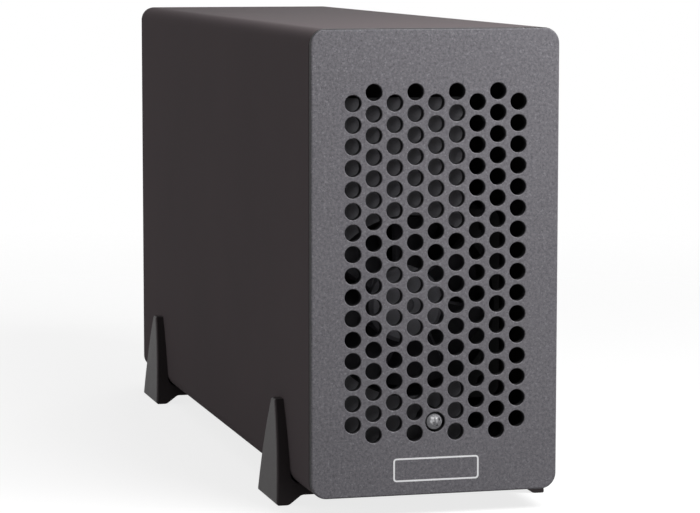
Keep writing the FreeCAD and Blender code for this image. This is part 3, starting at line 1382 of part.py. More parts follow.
def make_board():
    """The main board on its standoffs, with a screw into each and a notch for the slot cover's tail."""
    owner = body("board_body")
    outline = Outline(owner, "XY_Plane", "board_outline")
    notch_left = f"({COVER_LEFT} - board_notch_gap)"
    notch_front = "(board_length + board_ahead - pan_recess - cover_thick - board_notch_gap)"
    outline.polygon((
        (BOARD_LEFT, "0"),
        (BOARD_RIGHT, "0"),
        (BOARD_RIGHT, notch_front),
        (notch_left, notch_front),
        (notch_left, "board_length"),
        (BOARD_LEFT, "board_length"),
    ))
    blank = pad(owner, outline, "board_thick")
    round_edges(owner, blank, "board_corner_round", lambda edge: runs_along(edge, Z_WAY))
    holes = Outline(owner, "XY_Plane", "board_holes")
    for x, y in standoff_places("board_length + board_ahead"):
        holes.circle(x, y, SCREW_HOLE)
    owner.Tip = pocket(owner, holes)
    piece(place(owner, "0", BOARD_FRONT, BOARD_UNDER), "main_board")
    standoffs = []
    screws = []
    for i, (x, y) in enumerate(standoff_places(REAR_INSIDE)):
        post = hexagon(f"standoff_post_{i}", "z", x, y, FLOOR, "standoff_diameter", "standoff_height")
        stem = rod(f"standoff_stem_{i}", "z", x, y, TRAY_UNDER, "standoff_stem_diameter", "tray_thick")
        bore = rod(f"standoff_bore_{i}", "z", x, y, f"{BOARD_UNDER} - standoff_height",
                   "screw_diameter + 2 * thread_clearance", "standoff_height")
        standoffs.append(cut(f"standoff_{i}", join(f"standoff_blank_{i}", post, stem), bore))
        screws.append(pan_screw(f"board_screw_{i}", "z", (x, y, BOARD_TOP), 1,
                                "board_thick + standoff_height - screw_tail"))
    piece(gather("standoffs", standoffs), "board_standoffs")
    piece(gather("board_screw_set", screws), "board_screws")


def make_card_socket():
    """The card's edge socket: a long groove with a key near its back end."""
    left = f"{CARD_ACROSS} - slot_width / 2"
    front = f"({REAR_INSIDE} - slot_ahead - slot_length)"
    shell = rounded_box("socket_shell", Z_WAY, "slot_corner_round", left, front, BOARD_TOP, "slot_width",
                        "slot_length", "slot_height")
    groove_left = f"{CARD_ACROSS} - slot_groove_width / 2"
    groove_low = f"{BOARD_TOP} + slot_height - slot_groove_depth"
    short = "(slot_key_from_end - slot_end_wall)"
    back = f"({REAR_INSIDE} - slot_ahead)"
    near = box("socket_short_groove", groove_left, f"{back} - slot_key_from_end", groove_low,
               "slot_groove_width", short, "slot_groove_depth")
    far_length = "(slot_length - slot_key_from_end - slot_key_width - slot_end_wall)"
    far = box("socket_long_groove", groove_left, f"{front} + slot_end_wall", groove_low, "slot_groove_width",
              far_length, "slot_groove_depth")
    piece(cut("socket", shell, near, far), "pcie_slot")


def stadium(name, x, y, z, width, height, length):
    """A level bar with round sides, lying along Y, from the middle of its first end."""
    reach = f"(({width}) - ({height})) / 2"
    middle = box(f"{name}_flat", f"({x}) - {reach}", y, f"({z}) - ({height}) / 2",
                 f"2 * {reach}", length, height)
    left = rod(f"{name}_left", "y", f"({x}) - {reach}", y, z, height, length)
    right = rod(f"{name}_right", "y", f"({x}) + {reach}", y, z, height, length)
    return join(name, middle, left, right)


def make_ports():
    """Two reversible data ports and the barrel jack for the supply, along the board's rear edge."""
    shells = []
    tongues = []
    mouth = f"({REAR} - usb_mouth_back)"
    start = f"({mouth} - usb_length)"
    up = f"{BOARD_TOP} + usb_height / 2"
    for side, x in (("left", USB_LEFT), ("right", USB_RIGHT)):
        tube = stadium(f"usb_tube_{side}", x, start, up, "usb_width", "usb_height", "usb_length")
        inside = stadium(f"usb_inside_{side}", x, start, up, "usb_width - 2 * usb_wall",
                         "usb_height - 2 * usb_wall", "usb_length")
        shells.append(cut(f"usb_shell_{side}", tube, inside))
        plug = stadium(f"usb_plug_{side}", x, start, up, "usb_width - 2 * usb_wall - 2 * usb_plug_gap",
                       "usb_height - 2 * usb_wall - 2 * usb_plug_gap", "usb_plug_length")
        blade = box(f"usb_blade_{side}",
                    f"{x} - usb_tongue_width / 2", start, f"{up} - usb_tongue_thick / 2",
                    "usb_tongue_width", "usb_length - usb_tongue_mouth_back", "usb_tongue_thick")
        tongues.append(join(f"usb_tongue_{side}", plug, blade))
    piece(gather("usb_shell_set", shells), "usb_c_shells")
    piece(gather("usb_tongue_set", tongues), "usb_c_tongues")
    front = f"({REAR_INSIDE} - seat_gap - jack_length)"
    jack_up = f"{BOARD_TOP} + jack_height / 2"
    case = rounded_box("jack_case", Y_WAY, "jack_edge_round",
                       f"{JACK_ACROSS} - jack_width / 2", front, BOARD_TOP,
                       "jack_width", "jack_length", "jack_height")
    nose = rod("jack_nose", "y", JACK_ACROSS, f"{front} + jack_length / 2", jack_up, "jack_nose_diameter",
               "jack_length / 2 + seat_gap + rear_thick")
    bore_start = f"({REAR} - jack_bore_depth)"
    bore = rod("jack_bore", "y", JACK_ACROSS, bore_start, jack_up, "jack_bore_diameter", "jack_bore_depth")
    piece(cut("jack", join("jack_blank", case, nose), bore), "dc_jack")
    pin = rod("jack_pin", "y", JACK_ACROSS, bore_start, jack_up, "jack_pin_diameter",
              "jack_bore_depth - jack_pin_mouth_back")
    piece(pin, "dc_jack_pin")


def make_heatsink():
    """The controller chip with its pad and finned heatsink."""
    x = "-chip_across"
    y = f"({REAR_INSIDE} - chip_ahead)"
    chip = box("chip", f"{x} - chip_size / 2", f"{y} - chip_size / 2", BOARD_TOP, "chip_size", "chip_size",
               "chip_thick")
    piece(chip, "controller_chip")
    cushion = box("cushion", f"{x} - chip_size / 2", f"{y} - chip_size / 2", f"{BOARD_TOP} + chip_thick",
                  "chip_size", "chip_size", "pad_thick")
    piece(cushion, "thermal_pad")
    owner = body("heatsink_body")
    outline = Outline(owner, "XY_Plane", "heatsink_outline")
    outline.rectangle("-heatsink_size / 2", "-heatsink_size / 2", "heatsink_size", "heatsink_size")
    pad(owner, outline, "heatsink_height")
    gap = Outline(owner, "XZ_Plane", "heatsink_gap")
    pitch = "((heatsink_size - heatsink_fin_thick) / (heatsink_fins - 1))"
    gap.rectangle("heatsink_fin_thick - heatsink_size / 2", "heatsink_base", f"{pitch} - heatsink_fin_thick",
                  "heatsink_height")
    channel = pocket(owner, gap)
    row = owner.newObject("PartDesign::LinearPattern", "heatsink_channels")
    row.Originals = [channel]
    row.Direction = (gap.sketch, ["H_Axis"])
    bind(row, Length=f"{pitch} * (heatsink_fins - 2)", Occurrences="heatsink_fins - 1")
    owner.Tip = row
    piece(place(owner, x, y, f"{BOARD_TOP} + chip_thick + pad_thick"), "heatsink")


def make_power_parts():
    """The supply's capacitors, inductors and regulators, in rows on the board."""
    cans = []
    for i in range(int(number("capacitor_count"))):
        x = "capacitor_across"
        y = f"{REAR_INSIDE} - capacitor_ahead - {i} * capacitor_pitch"
        can = rod(f"can_{i}", "z", x, y, BOARD_TOP, "capacitor_diameter", "capacitor_height")
        top = number(f"{BOARD_TOP} + capacitor_height")
        rounded = soften(f"can_round_{i}", can, "capacitor_edge_round", lambda edge: lies_at(edge, "z", top))
        neck = doc.addObject("Part::Torus", f"can_neck_{i}")
        bind(neck, Radius1="capacitor_diameter / 2", Radius2="capacitor_neck_depth")
        place(neck, x, y, f"{BOARD_TOP} + capacitor_neck_up")
        cans.append(cut(f"capacitor_{i}", rounded, neck))
    piece(gather("capacitor_set", cans), "capacitors")
    coils = []
    chips = []
    for i in range(int(number("inductor_count"))):
        y = f"({REAR_INSIDE} - inductor_ahead - {i} * inductor_pitch)"
        coil = rounded_box(f"inductor_{i}", Z_WAY, "inductor_corner_round",
                           "-inductor_across - inductor_size / 2", f"{y} - inductor_size / 2", BOARD_TOP,
                           "inductor_size", "inductor_size", "inductor_height")
        coils.append(coil)
        chip = box(f"regulator_{i}",
                   "-regulator_across - regulator_length", f"{y} - regulator_width / 2", BOARD_TOP,
                   "regulator_length", "regulator_width", "regulator_thick")
        chips.append(chip)
    piece(gather("inductor_set", coils), "inductors")
    piece(gather("regulator_set", chips), "regulator_chips")


def header_across(name):
    """How far across a header stands."""
    return f"({BOARD_LEFT} + {name}_header_inset)"


def make_header(name):
    """A shrouded board header with a plug pushed into it from the front."""
    x = header_across(name)
    start = f"({BOARD_FRONT} + header_inset)"
    shell = box(f"{name}_header_shell", f"{x} - header_width / 2", start, BOARD_TOP, "header_width",
                "header_length", "header_height")
    mouth = box(f"{name}_header_mouth",
                f"{x} - header_width / 2 + header_wall", start, f"{BOARD_TOP} + header_wall",
                "header_width - 2 * header_wall", "header_length - header_wall",
                "header_height - 2 * header_wall")
    piece(cut(f"{name}_header_cut", shell, mouth), f"{name}_header")
    plug = box(f"{name}_plug_shell", f"{x} - {PLUG_WIDTH} / 2", PLUG_FRONT, PLUG_LOW,
               PLUG_WIDTH, "plug_length", PLUG_HEIGHT)
    piece(plug, f"{name}_plug")


def lead(name, points, diameter):
    """A held lead: straight runs joined by arcs as large as the runs allow."""
    spots = [Vector(*(number(text) for text in point)) for point in points]
    edges = []
    here = spots[0]
    for before, corner, after in zip(spots, spots[1:], spots[2:]):
        into = (corner - before).normalize()
        out = (after - corner).normalize()
        turn = math.acos(max(-1.0, min(1.0, into.dot(out))))
        reach = BEND_SHARE * min((corner - before).Length, (after - corner).Length)
        start = corner - into * reach
        end = corner + out * reach
        radius = reach / math.tan(turn / 2)
        centre = corner + (out - into).normalize() * (radius / math.cos(turn / 2))
        bend = centre + (corner - centre).normalize() * radius
        edges.append(Part.LineSegment(here, start).toShape())
        edges.append(Part.Arc(start, bend, end).toShape())
        here = end
    edges.append(Part.LineSegment(here, spots[-1]).toShape())
    path = Part.Wire(edges)
    way = (spots[1] - spots[0]).normalize()
    section = Part.Wire([Part.Circle(spots[0], way, number(diameter) / 2).toShape()])
    item = doc.addObject("Part::Feature", f"{name}_tube")
    item.Shape = path.makePipeShell([section], True, False)
    return piece(item, name)


def make_leads():
    """The fan's and the lamp's leads, from the back of each to its plug on the board."""
    plug_up = f"({PLUG_LOW} + {PLUG_HEIGHT} / 2)"
    fan_x = header_across("fan")
    exit_x = f"({FAN_ACROSS} - {FAN_BORE} / 4 - fan_base_diameter / 4)"
    lead("fan_lead", (
        (exit_x, FAN_BACK, FAN_UP),
        (exit_x, f"{FAN_BACK} + 9", FAN_UP),
        (f"{exit_x} - 1", f"{FAN_BACK} + 17", f"{FAN_UP} - 14"),
        (f"{fan_x} + 1", f"{FAN_BACK} + 24", f"{plug_up} + 15"),
        (f"{fan_x} - 1", f"{FAN_BACK} + 34", f"{plug_up} + 2"),
        (fan_x, f"{PLUG_FRONT} - 16", plug_up),
        (fan_x, PLUG_FRONT, plug_up),
    ), "fan_lead_diameter")
    led_x = header_across("led")
    exit_y = f"({FAN_FRONT} + led_holder_stem_length)"
    lead("led_lead", (
        ("0", exit_y, LED_UP),
        ("0", f"{exit_y} + 9", LED_UP),
        ("-2", f"{exit_y} + 22", f"{LED_UP} - 6"),
        (f"{led_x} + 2", f"{exit_y} + 40", f"{plug_up} + 1"),
        (f"{led_x} - 1", f"{exit_y} + 56", f"{plug_up} + 1"),
        (led_x, f"{PLUG_FRONT} - 14", plug_up),
        (led_x, PLUG_FRONT, plug_up),
    ), "led_lead_diameter")


def build():
    """Makes every piece, the case first, then the cage from the tray up."""
    fill_sheet()
    make_sleeve()
    make_front_panel()
    make_front_panel_fixings()
    make_feet()
    make_thumbscrew_blocks()
    make_tray()
    make_rear_panel()
    make_rear_panel_screws()
    make_slot_frame()
    make_slot_frame_rivets()
    make_slot_cover()
    make_slot_cover_screw()
    make_thumbscrew("left", "-")
    make_thumbscrew("right", "")
    make_ferrules()
    make_fan_bracket()
    make_fan_bracket_screws()
    make_fan_frame()
    make_fan_motor()
    make_fan_rotor()
    make_fan_screws()
    make_lamp()
    make_board()
    make_card_socket()
    make_ports()
    make_heatsink()
    make_power_parts()
    make_header("fan")
    make_header("led")
    make_leads()
    doc.recompute()


def check():
    """Stops if an object failed or a piece has no sound shape."""
    for item in doc.Objects:
        if "Invalid" in item.State or "Error" in item.State:
            raise RuntimeError(f"{item.Label} failed: {item.State}")
    for item in pieces:
        if item.Shape.isNull() or not item.Shape.isValid() or not item.Shape.Solids:
            raise RuntimeError(f"{item.Label} has no sound shape")


def write():
    """Writes each piece to a file of its own."""
    os.makedirs("parts", exist_ok=True)
    for item in pieces:
        item.Shape.exportStep(f"parts/{item.Label}.step")


build()
check()
write()
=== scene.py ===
"""Finishes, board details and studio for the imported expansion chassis. Metres, in the part's own frame."""

import json
import math

import bmesh
import bpy
from mathutils import Euler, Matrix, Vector


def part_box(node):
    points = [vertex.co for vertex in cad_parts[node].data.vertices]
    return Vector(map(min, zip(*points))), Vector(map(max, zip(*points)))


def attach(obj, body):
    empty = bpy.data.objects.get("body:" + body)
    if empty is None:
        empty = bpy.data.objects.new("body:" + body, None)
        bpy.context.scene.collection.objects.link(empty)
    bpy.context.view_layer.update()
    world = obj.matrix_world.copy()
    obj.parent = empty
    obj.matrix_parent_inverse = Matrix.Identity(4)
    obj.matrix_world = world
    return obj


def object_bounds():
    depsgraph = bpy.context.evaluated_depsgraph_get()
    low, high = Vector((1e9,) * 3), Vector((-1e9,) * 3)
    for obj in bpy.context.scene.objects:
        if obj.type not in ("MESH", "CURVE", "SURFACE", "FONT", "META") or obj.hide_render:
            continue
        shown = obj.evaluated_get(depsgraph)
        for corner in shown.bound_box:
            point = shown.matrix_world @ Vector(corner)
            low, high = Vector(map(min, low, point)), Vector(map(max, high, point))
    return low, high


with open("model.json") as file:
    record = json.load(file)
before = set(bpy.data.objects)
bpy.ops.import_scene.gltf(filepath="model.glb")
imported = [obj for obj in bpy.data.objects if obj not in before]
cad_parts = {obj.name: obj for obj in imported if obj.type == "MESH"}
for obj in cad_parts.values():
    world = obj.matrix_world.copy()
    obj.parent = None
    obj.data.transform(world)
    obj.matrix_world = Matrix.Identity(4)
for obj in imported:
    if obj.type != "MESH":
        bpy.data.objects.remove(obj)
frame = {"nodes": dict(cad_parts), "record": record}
CAD_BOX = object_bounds()
NODES = frame["nodes"]
MM = 0.001
WHITE = (1.0, 1.0, 1.0, 1.0)
BLACK = (0.0, 0.0, 0.0, 1.0)


def linear(red, green, blue):
    """A colour written as it shows on screen, 0 to 255, as the linear one that shaders take."""
    def level(value):
        share = value / 255
        return share / 12.92 if share <= 0.04045 else ((share + 0.055) / 1.055) ** 2.4
    return (level(red), level(green), level(blue), 1.0)


class Wire:
    """A socket in a node tree. Sums, products and comparisons of wires add Math nodes."""

    def __init__(self, tree, socket):
        self.tree = tree
        self.socket = socket

    def __add__(self, other):
        return self.tree.math("ADD", self, other)

    def __radd__(self, other):
        return self.tree.math("ADD", other, self)

    def __sub__(self, other):
        return self.tree.math("SUBTRACT", self, other)

    def __rsub__(self, other):
        return self.tree.math("SUBTRACT", other, self)

    def __mul__(self, other):
        return self.tree.math("MULTIPLY", self, other)

    def __rmul__(self, other):
        return self.tree.math("MULTIPLY", other, self)

    def __truediv__(self, other):
        return self.tree.math("DIVIDE", self, other)

    def __rtruediv__(self, other):
        return self.tree.math("DIVIDE", other, self)

    def __gt__(self, other):
        return self.tree.math("GREATER_THAN", self, other)

    def __lt__(self, other):
        return self.tree.math("LESS_THAN", self, other)


# The sockets of a Mix node that carry colours.
MIX_SHARE = 0
MIX_FIRST = 6
MIX_SECOND = 7
MIX_RESULT = 2

# The span that soft noise mostly keeps to.
NOISE_LOW = 0.3
NOISE_HIGH = 0.7


class Tree:
    """A shader node tree that is written as expressions."""

    def __init__(self, graph):
        self.graph = graph
        self.graph.nodes.clear()

    def node(self, kind, settings=None, sockets=None, out=0):
        """Adds one node: its settings first, then the values or wires of its sockets."""
        added = self.graph.nodes.new(kind)
        for name, value in (settings or {}).items():
            setattr(added, name, value)
        for name, value in (sockets or {}).items():
            if isinstance(value, Wire):
                self.graph.links.new(value.socket, added.inputs[name])
            else:
                added.inputs[name].default_value = value
        return Wire(self, added.outputs[out]) if added.outputs else None

    def math(self, operation, first, second=0.0):
        """One step of arithmetic on numbers."""
        return self.node("ShaderNodeMath", {"operation": operation}, {0: first, 1: second})

    def mix(self, share, first, second):
        """A colour between two others."""
        sockets = {MIX_SHARE: share, MIX_FIRST: first, MIX_SECOND: second}
        return self.node("ShaderNodeMix", {"data_type": "RGBA"}, sockets, out=MIX_RESULT)

    def place(self):
        """Where a point lies, in the part's frame."""
        return self.node("ShaderNodeTexCoord", out="Object")

    def stretched(self, scale):
        """The part's frame with its axes scaled, for grain that runs one way."""
        return self.node("ShaderNodeMapping", None, {"Vector": self.place(), "Scale": scale})

    def axis(self, name):
        """One coordinate of a point."""
        return self.node("ShaderNodeSeparateXYZ", None, {"Vector": self.place()}, out=name)

    def noise(self, size, detail=2.0, where=None, roughness=0.5):
        """Soft noise from 0 to 1, its features about one size across."""
        return self.node("ShaderNodeTexNoise", None, {
            "Vector": where or self.place(),
            "Scale": 1 / size,
            "Detail": detail,
            "Roughness": roughness,
        })

    def specks(self, size):
        """A random level from 0 to 1 for each small cell."""
        sockets = {"Vector": self.place(), "Scale": 1 / size}
        cells = self.node("ShaderNodeTexVoronoi", None, sockets, out="Color")
        return self.node("ShaderNodeSeparateColor", None, {"Color": cells}, out="Red")

    def spread(self, value, low, high, to_low=0.0, to_high=1.0):
        """A value stretched from one span to another and held inside it."""
        sockets = {"Value": value, "From Min": low, "From Max": high, "To Min": to_low, "To Max": to_high}
        return self.node("ShaderNodeMapRange", {"clamp": True}, sockets)

    def level(self, noise, low=0.0, high=1.0):
        """Soft noise, stretched over a span."""
        return self.spread(noise, NOISE_LOW, NOISE_HIGH, low, high)

    def bump(self, height, depth, strength=1.0):
        """A normal from a height that runs from 0 to 1."""
        return self.node("ShaderNodeBump", None, {"Height": height, "Distance": depth, "Strength": strength})

    def surface(self, sockets):
        """The finished surface: wires or values for the sockets of one shader."""
        shader = self.node("ShaderNodeBsdfPrincipled", None, sockets)
        self.output(shader)

    def output(self, shader):
        """Makes a shader the whole material."""
        self.node("ShaderNodeOutputMaterial", None, {"Surface": shader})


def new_tree(name):
    """A fresh material, and its tree."""
    material = bpy.data.materials.new(name)
    material.use_nodes = True
    return material, Tree(material.node_tree)


# Painted metal

def sleeve_paint():
    """The case's smooth, dull brown-black paint with the faintest orange peel."""
    material, tree = new_tree("sleeve_paint")
    drift = tree.noise(90 * MM, 3.0)
    grain = tree.noise(0.5 * MM, 2.0)
    tone = tree.level(drift * 0.75 + grain * 0.25)
    colour = tree.mix(tone, linear(85, 78, 80), linear(94, 86, 88))
    tree.surface({
        "Base Color": colour,
        "Roughness": tree.level(drift, 0.72, 0.8),
        "Specular IOR Level": 0.02,
        "Normal": tree.bump(grain, 0.02 * MM, 0.5),
    })
    return material


def panel_paint():
    """The panel's grey powder coat, sandy with bright flakes; painted shade darkens its sides and hole walls,
    and a painted shadow line runs along its top rim.
    """
    material, tree = new_tree("panel_paint")
    coarse = tree.noise(0.9 * MM, 3.0, roughness=0.7)
    fine = tree.specks(0.3 * MM)
    drift = tree.noise(60 * MM, 2.0)
    tone = tree.level(coarse * 0.75 + fine * 0.12 + drift * 0.13)
    grey = tree.mix(tone, linear(82, 80, 85), linear(126, 124, 129))
    flake = tree.specks(0.42 * MM) > 0.965
    coat = tree.mix(flake * 0.35, grey, linear(160, 158, 164))
    low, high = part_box("front_panel")
    # Painted shade on the sides and hole walls behind the face, and a painted shadow line along the top rim
    # where the gap to the sleeve lies.
    behind = tree.spread(tree.axis("Y"), low.y + 0.2 * MM, low.y + 0.5 * MM)
    rim_shadow_line = tree.spread(tree.axis("Z"), high.z - 0.38 * MM, high.z - 0.15 * MM)
    dark = tree.math("MAXIMUM", behind, rim_shadow_line)
    tree.surface({
        # The painted shade and the painted shadow line take this dark colour.
        "Base Color": tree.mix(dark, coat, linear(36, 35, 37)),
        "Roughness": tree.level(coarse, 0.5, 0.66),
        "Metallic": flake * 0.35,
        "Specular IOR Level": 0.3,
        "Normal": tree.bump(coarse * 0.8 + fine * 0.2, 0.1 * MM, 0.5),
    })
    return material


def bracket_sheet():
    """Dull coated sheet inside the case."""
    material, tree = new_tree("bracket_sheet")
    grain = tree.noise(0.6 * MM, 2.0)
    drift = tree.noise(25 * MM, 3.0)
    tone = tree.level(drift * 0.6 + grain * 0.4)
    tree.surface({
        "Base Color": tree.mix(tone, linear(118, 117, 122), linear(138, 137, 142)),
        "Roughness": tree.level(grain, 0.55, 0.7),
        "Specular IOR Level": 0.3,
        "Normal": tree.bump(grain, 0.03 * MM, 0.5),
    })
    return material


# Bare and plated metal

EVEN_GRAIN = (1 / (0.4 * MM),) * 3
UPRIGHT_GRAIN = (1 / (0.25 * MM), 1 / (0.25 * MM), 1 / (18 * MM))
LENGTHWISE_GRAIN = (1 / (0.25 * MM), 1 / (18 * MM), 1 / (0.25 * MM))


def metal_grain(tree, grain_scale):
    """Fine lines along the stretched axis, slow clouds, and the tone that both give."""
    lines = tree.noise(1.0, 3.0, where=tree.stretched(grain_scale))
    clouds = tree.noise(9 * MM, 3.0)
    return lines, clouds, tree.spread(lines * 0.6 + clouds * 0.4, 0.32, 0.68)


def metal(name, dark, light, roughness, grain_scale):
    """Bare or plated metal with a fine grain and cloudy gloss."""
    material, tree = new_tree(name)
    lines, clouds, tone = metal_grain(tree, grain_scale)
    tree.surface({
        "Base Color": tree.mix(tone, dark, light),
        "Metallic": 1.0,
        "Roughness": tree.level(clouds * 0.5 + lines * 0.5, roughness - 0.06, roughness + 0.08),
        "Normal": tree.bump(lines, 0.015 * MM, 0.5),
    })
    return material


def plated_sheet():
    """Zinc plating over brushed sheet: bright on the tray and the slot's cover, black on the pan."""
    material, tree = new_tree("plated_sheet")
    low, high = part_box("slot_frame")
    slack = 0.05 * MM
    behind_cover = tree.axis("Y") > low.y + slack
    upright = (tree.axis("Z") > low.z - slack) * (tree.axis("Z") < high.z + slack)
    pan = behind_cover * upright * (tree.axis("X") > low.x - slack)
    lines, clouds, tone = metal_grain(tree, UPRIGHT_GRAIN)
    bright = tree.mix(tone, linear(150, 152, 155), linear(172, 174, 177))
    black = tree.mix(tone, linear(66, 64, 66), linear(78, 76, 78))
    tree.surface({
        "Base Color": tree.mix(pan, bright, black),
        "Metallic": 1.0,
        "Roughness": tree.level(clouds * 0.5 + lines * 0.5, 0.34, 0.48) + pan * 0.1,
        "Normal": tree.bump(lines, 0.008 * MM, 0.5),
    })
    return material


def block_aluminium():
    return metal("block_aluminium", linear(182, 183, 185), linear(206, 207, 209), 0.34, LENGTHWISE_GRAIN)


def screw_steel():
    return metal("screw_steel", linear(150, 151, 154), linear(184, 185, 188), 0.32, EVEN_GRAIN)


def port_steel():
    return metal("port_steel", linear(186, 186, 188), linear(212, 212, 214), 0.24, LENGTHWISE_GRAIN)


def screw_black():
    return metal("screw_black", linear(30, 30, 32), linear(46, 46, 48), 0.42, EVEN_GRAIN)


def bearing_bronze():
    return metal("bearing_bronze", linear(168, 128, 84), linear(196, 154, 106), 0.42, EVEN_GRAIN)


def standoff_brass():
    return metal("standoff_brass", linear(190, 160, 88), linear(218, 188, 112), 0.28, LENGTHWISE_GRAIN)


def can_aluminium():
    return metal("can_aluminium", linear(192, 193, 196), linear(214, 215, 218), 0.26, UPRIGHT_GRAIN)


def contact_gold():
    return metal("contact_gold", linear(206, 164, 84), linear(232, 194, 116), 0.24, EVEN_GRAIN)


def solder_tin():
    return metal("solder_tin", linear(178, 180, 184), linear(206, 208, 212), 0.3, EVEN_GRAIN)


def thumbscrew_nickel():
    """Nickel plating, with the fine thread cut into the shank ahead of the panel."""
    material, tree = new_tree("thumbscrew_nickel")
    shank_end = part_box("rear_panel")[0].y
    pitch = 0.7 * MM
    along = tree.axis("Y")
    turns = tree.math("SINE", along * (2 * math.pi / pitch))
    thread = (along < shank_end) * (turns * 0.5 + 0.5)
    clouds = tree.noise(4 * MM, 3.0)
    grain = tree.noise(0.25 * MM, 2.0)
    tone = tree.level(clouds)
    tree.surface({
        "Base Color": tree.mix(tone, linear(178, 174, 168), linear(206, 203, 198)),
        "Metallic": 1.0,
        "Roughness": tree.level(clouds * 0.6 + grain * 0.4, 0.2, 0.34),
        "Normal": tree.bump(thread * 0.95 + grain * 0.05, 0.3 * MM, 0.9),
    })
    return material


def sink_aluminium():
    """Black anodised extrusion with drawn lines along its fins."""
    material, tree = new_tree("sink_aluminium")
    lines = tree.noise(1.0, 3.0, where=tree.stretched(LENGTHWISE_GRAIN))
    clouds = tree.noise(12 * MM, 2.0)
    tone = tree.level(lines * 0.5 + clouds * 0.5)
    tree.surface({
        "Base Color": tree.mix(tone, linear(40, 40, 43), linear(58, 58, 62)),
        "Metallic": 0.6,
        "Roughness": tree.level(lines, 0.4, 0.55),
        "Normal": tree.bump(lines, 0.02 * MM, 0.5),
    })
    return material


def stator_steel():
    """Stacked laminations wound with enamelled copper."""
    material, tree = new_tree("stator_steel")
    pitch = 0.5 * MM
    stack = tree.math("SINE", tree.axis("Y") * (2 * math.pi / pitch)) * 0.5 + 0.5
    clouds = tree.noise(2 * MM, 3.0)
    tree.surface({
        "Base Color": tree.mix(stack, linear(120, 74, 46), linear(168, 112, 72)),
        "Metallic": 0.8,
        "Roughness": tree.level(clouds, 0.34, 0.5),
        "Normal": tree.bump(stack, 0.1 * MM, 0.8),
    })
    return material


# Plastics, rubber and resin

def moulded(name, dark, light, roughness, pebble, depth, specular=0.4, gloss=WHITE):
    """Moulded plastic: a pebble of a size and depth in mm, slow drift in tone and satin gloss."""
    material, tree = new_tree(name)
    grain = tree.noise(pebble * MM, 2.0)
    drift = tree.noise(18 * MM, 3.0)
    tone = tree.level(drift * 0.6 + grain * 0.4)
    tree.surface({
        "Base Color": tree.mix(tone, dark, light),
        "Roughness": tree.level(grain * 0.6 + drift * 0.4, roughness - 0.06, roughness + 0.06),
        "Specular IOR Level": specular,
        "Specular Tint": gloss,
        "Normal": tree.bump(grain, depth * MM, 0.6),
    })
    return material


def foot_plastic():
    warm_gloss = (1.0, 0.88, 0.92, 1.0)
    return moulded("foot_plastic", linear(30, 27, 27), linear(38, 34, 35), 0.4, 0.35, 0.012,
                   specular=0.36, gloss=warm_gloss)


def fan_plastic():
    return moulded("fan_plastic", linear(14, 14, 15), linear(22, 22, 23), 0.5, 0.5, 0.02, specular=0.2)


def rotor_plastic():
    """Smooth dark plastic; the hub's face is paler than the blades."""
    material, tree = new_tree("rotor_plastic")
    low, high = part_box("fan_rotor")
    hub_radius = 12.05 * MM
    flat = tree.node("ShaderNodeMapping", None, {
        "Vector": tree.place(),
        "Location": (-(low.x + high.x) / 2, 0.0, -(low.z + high.z) / 2),
        "Scale": (1.0, 0.0, 1.0),
    })
    from_axis = tree.node("ShaderNodeVectorMath", {"operation": "LENGTH"}, {0: flat}, out="Value")
    on_hub = from_axis < hub_radius
    grain = tree.noise(0.5 * MM, 2.0)
    drift = tree.noise(18 * MM, 3.0)
    tone = tree.level(drift * 0.6 + grain * 0.4)
    blade = tree.mix(tone, linear(62, 61, 65), linear(74, 73, 78))
    face = tree.mix(tone, linear(136, 135, 142), linear(152, 151, 158))
    tree.surface({
        "Base Color": tree.mix(on_hub, blade, face),
        "Roughness": tree.level(grain, 0.36, 0.48),
        "Specular IOR Level": 0.3,
        "Normal": tree.bump(grain, 0.02 * MM, 0.6),
    })
    return material


def black_plastic():
    return moulded("black_plastic", linear(38, 38, 40), linear(50, 50, 52), 0.45, 0.3, 0.015)


def white_plastic():
    return moulded("white_plastic", linear(214, 210, 200), linear(228, 225, 216), 0.36, 0.4, 0.01)


def lead_rubber():
    return moulded("lead_rubber", linear(26, 26, 27), linear(38, 38, 39), 0.5, 0.25, 0.02)


def chip_resin():
    return moulded("chip_resin", linear(34, 34, 35), linear(46, 46, 47), 0.55, 0.12, 0.01)


def pad_rubber():
    return moulded("pad_rubber", linear(150, 154, 164), linear(166, 170, 178), 0.7, 0.3, 0.02)


def inductor_ferrite():
    return moulded("inductor_ferrite", linear(70, 70, 73), linear(92, 92, 95), 0.6, 0.2, 0.04)


def ceramic_tan():
    return moulded("ceramic_tan", linear(150, 122, 88), linear(172, 144, 108), 0.4, 0.15, 0.01)


def print_white():
    return moulded("print_white", linear(240, 240, 242), linear(250, 250, 252), 0.5, 0.3, 0.008)


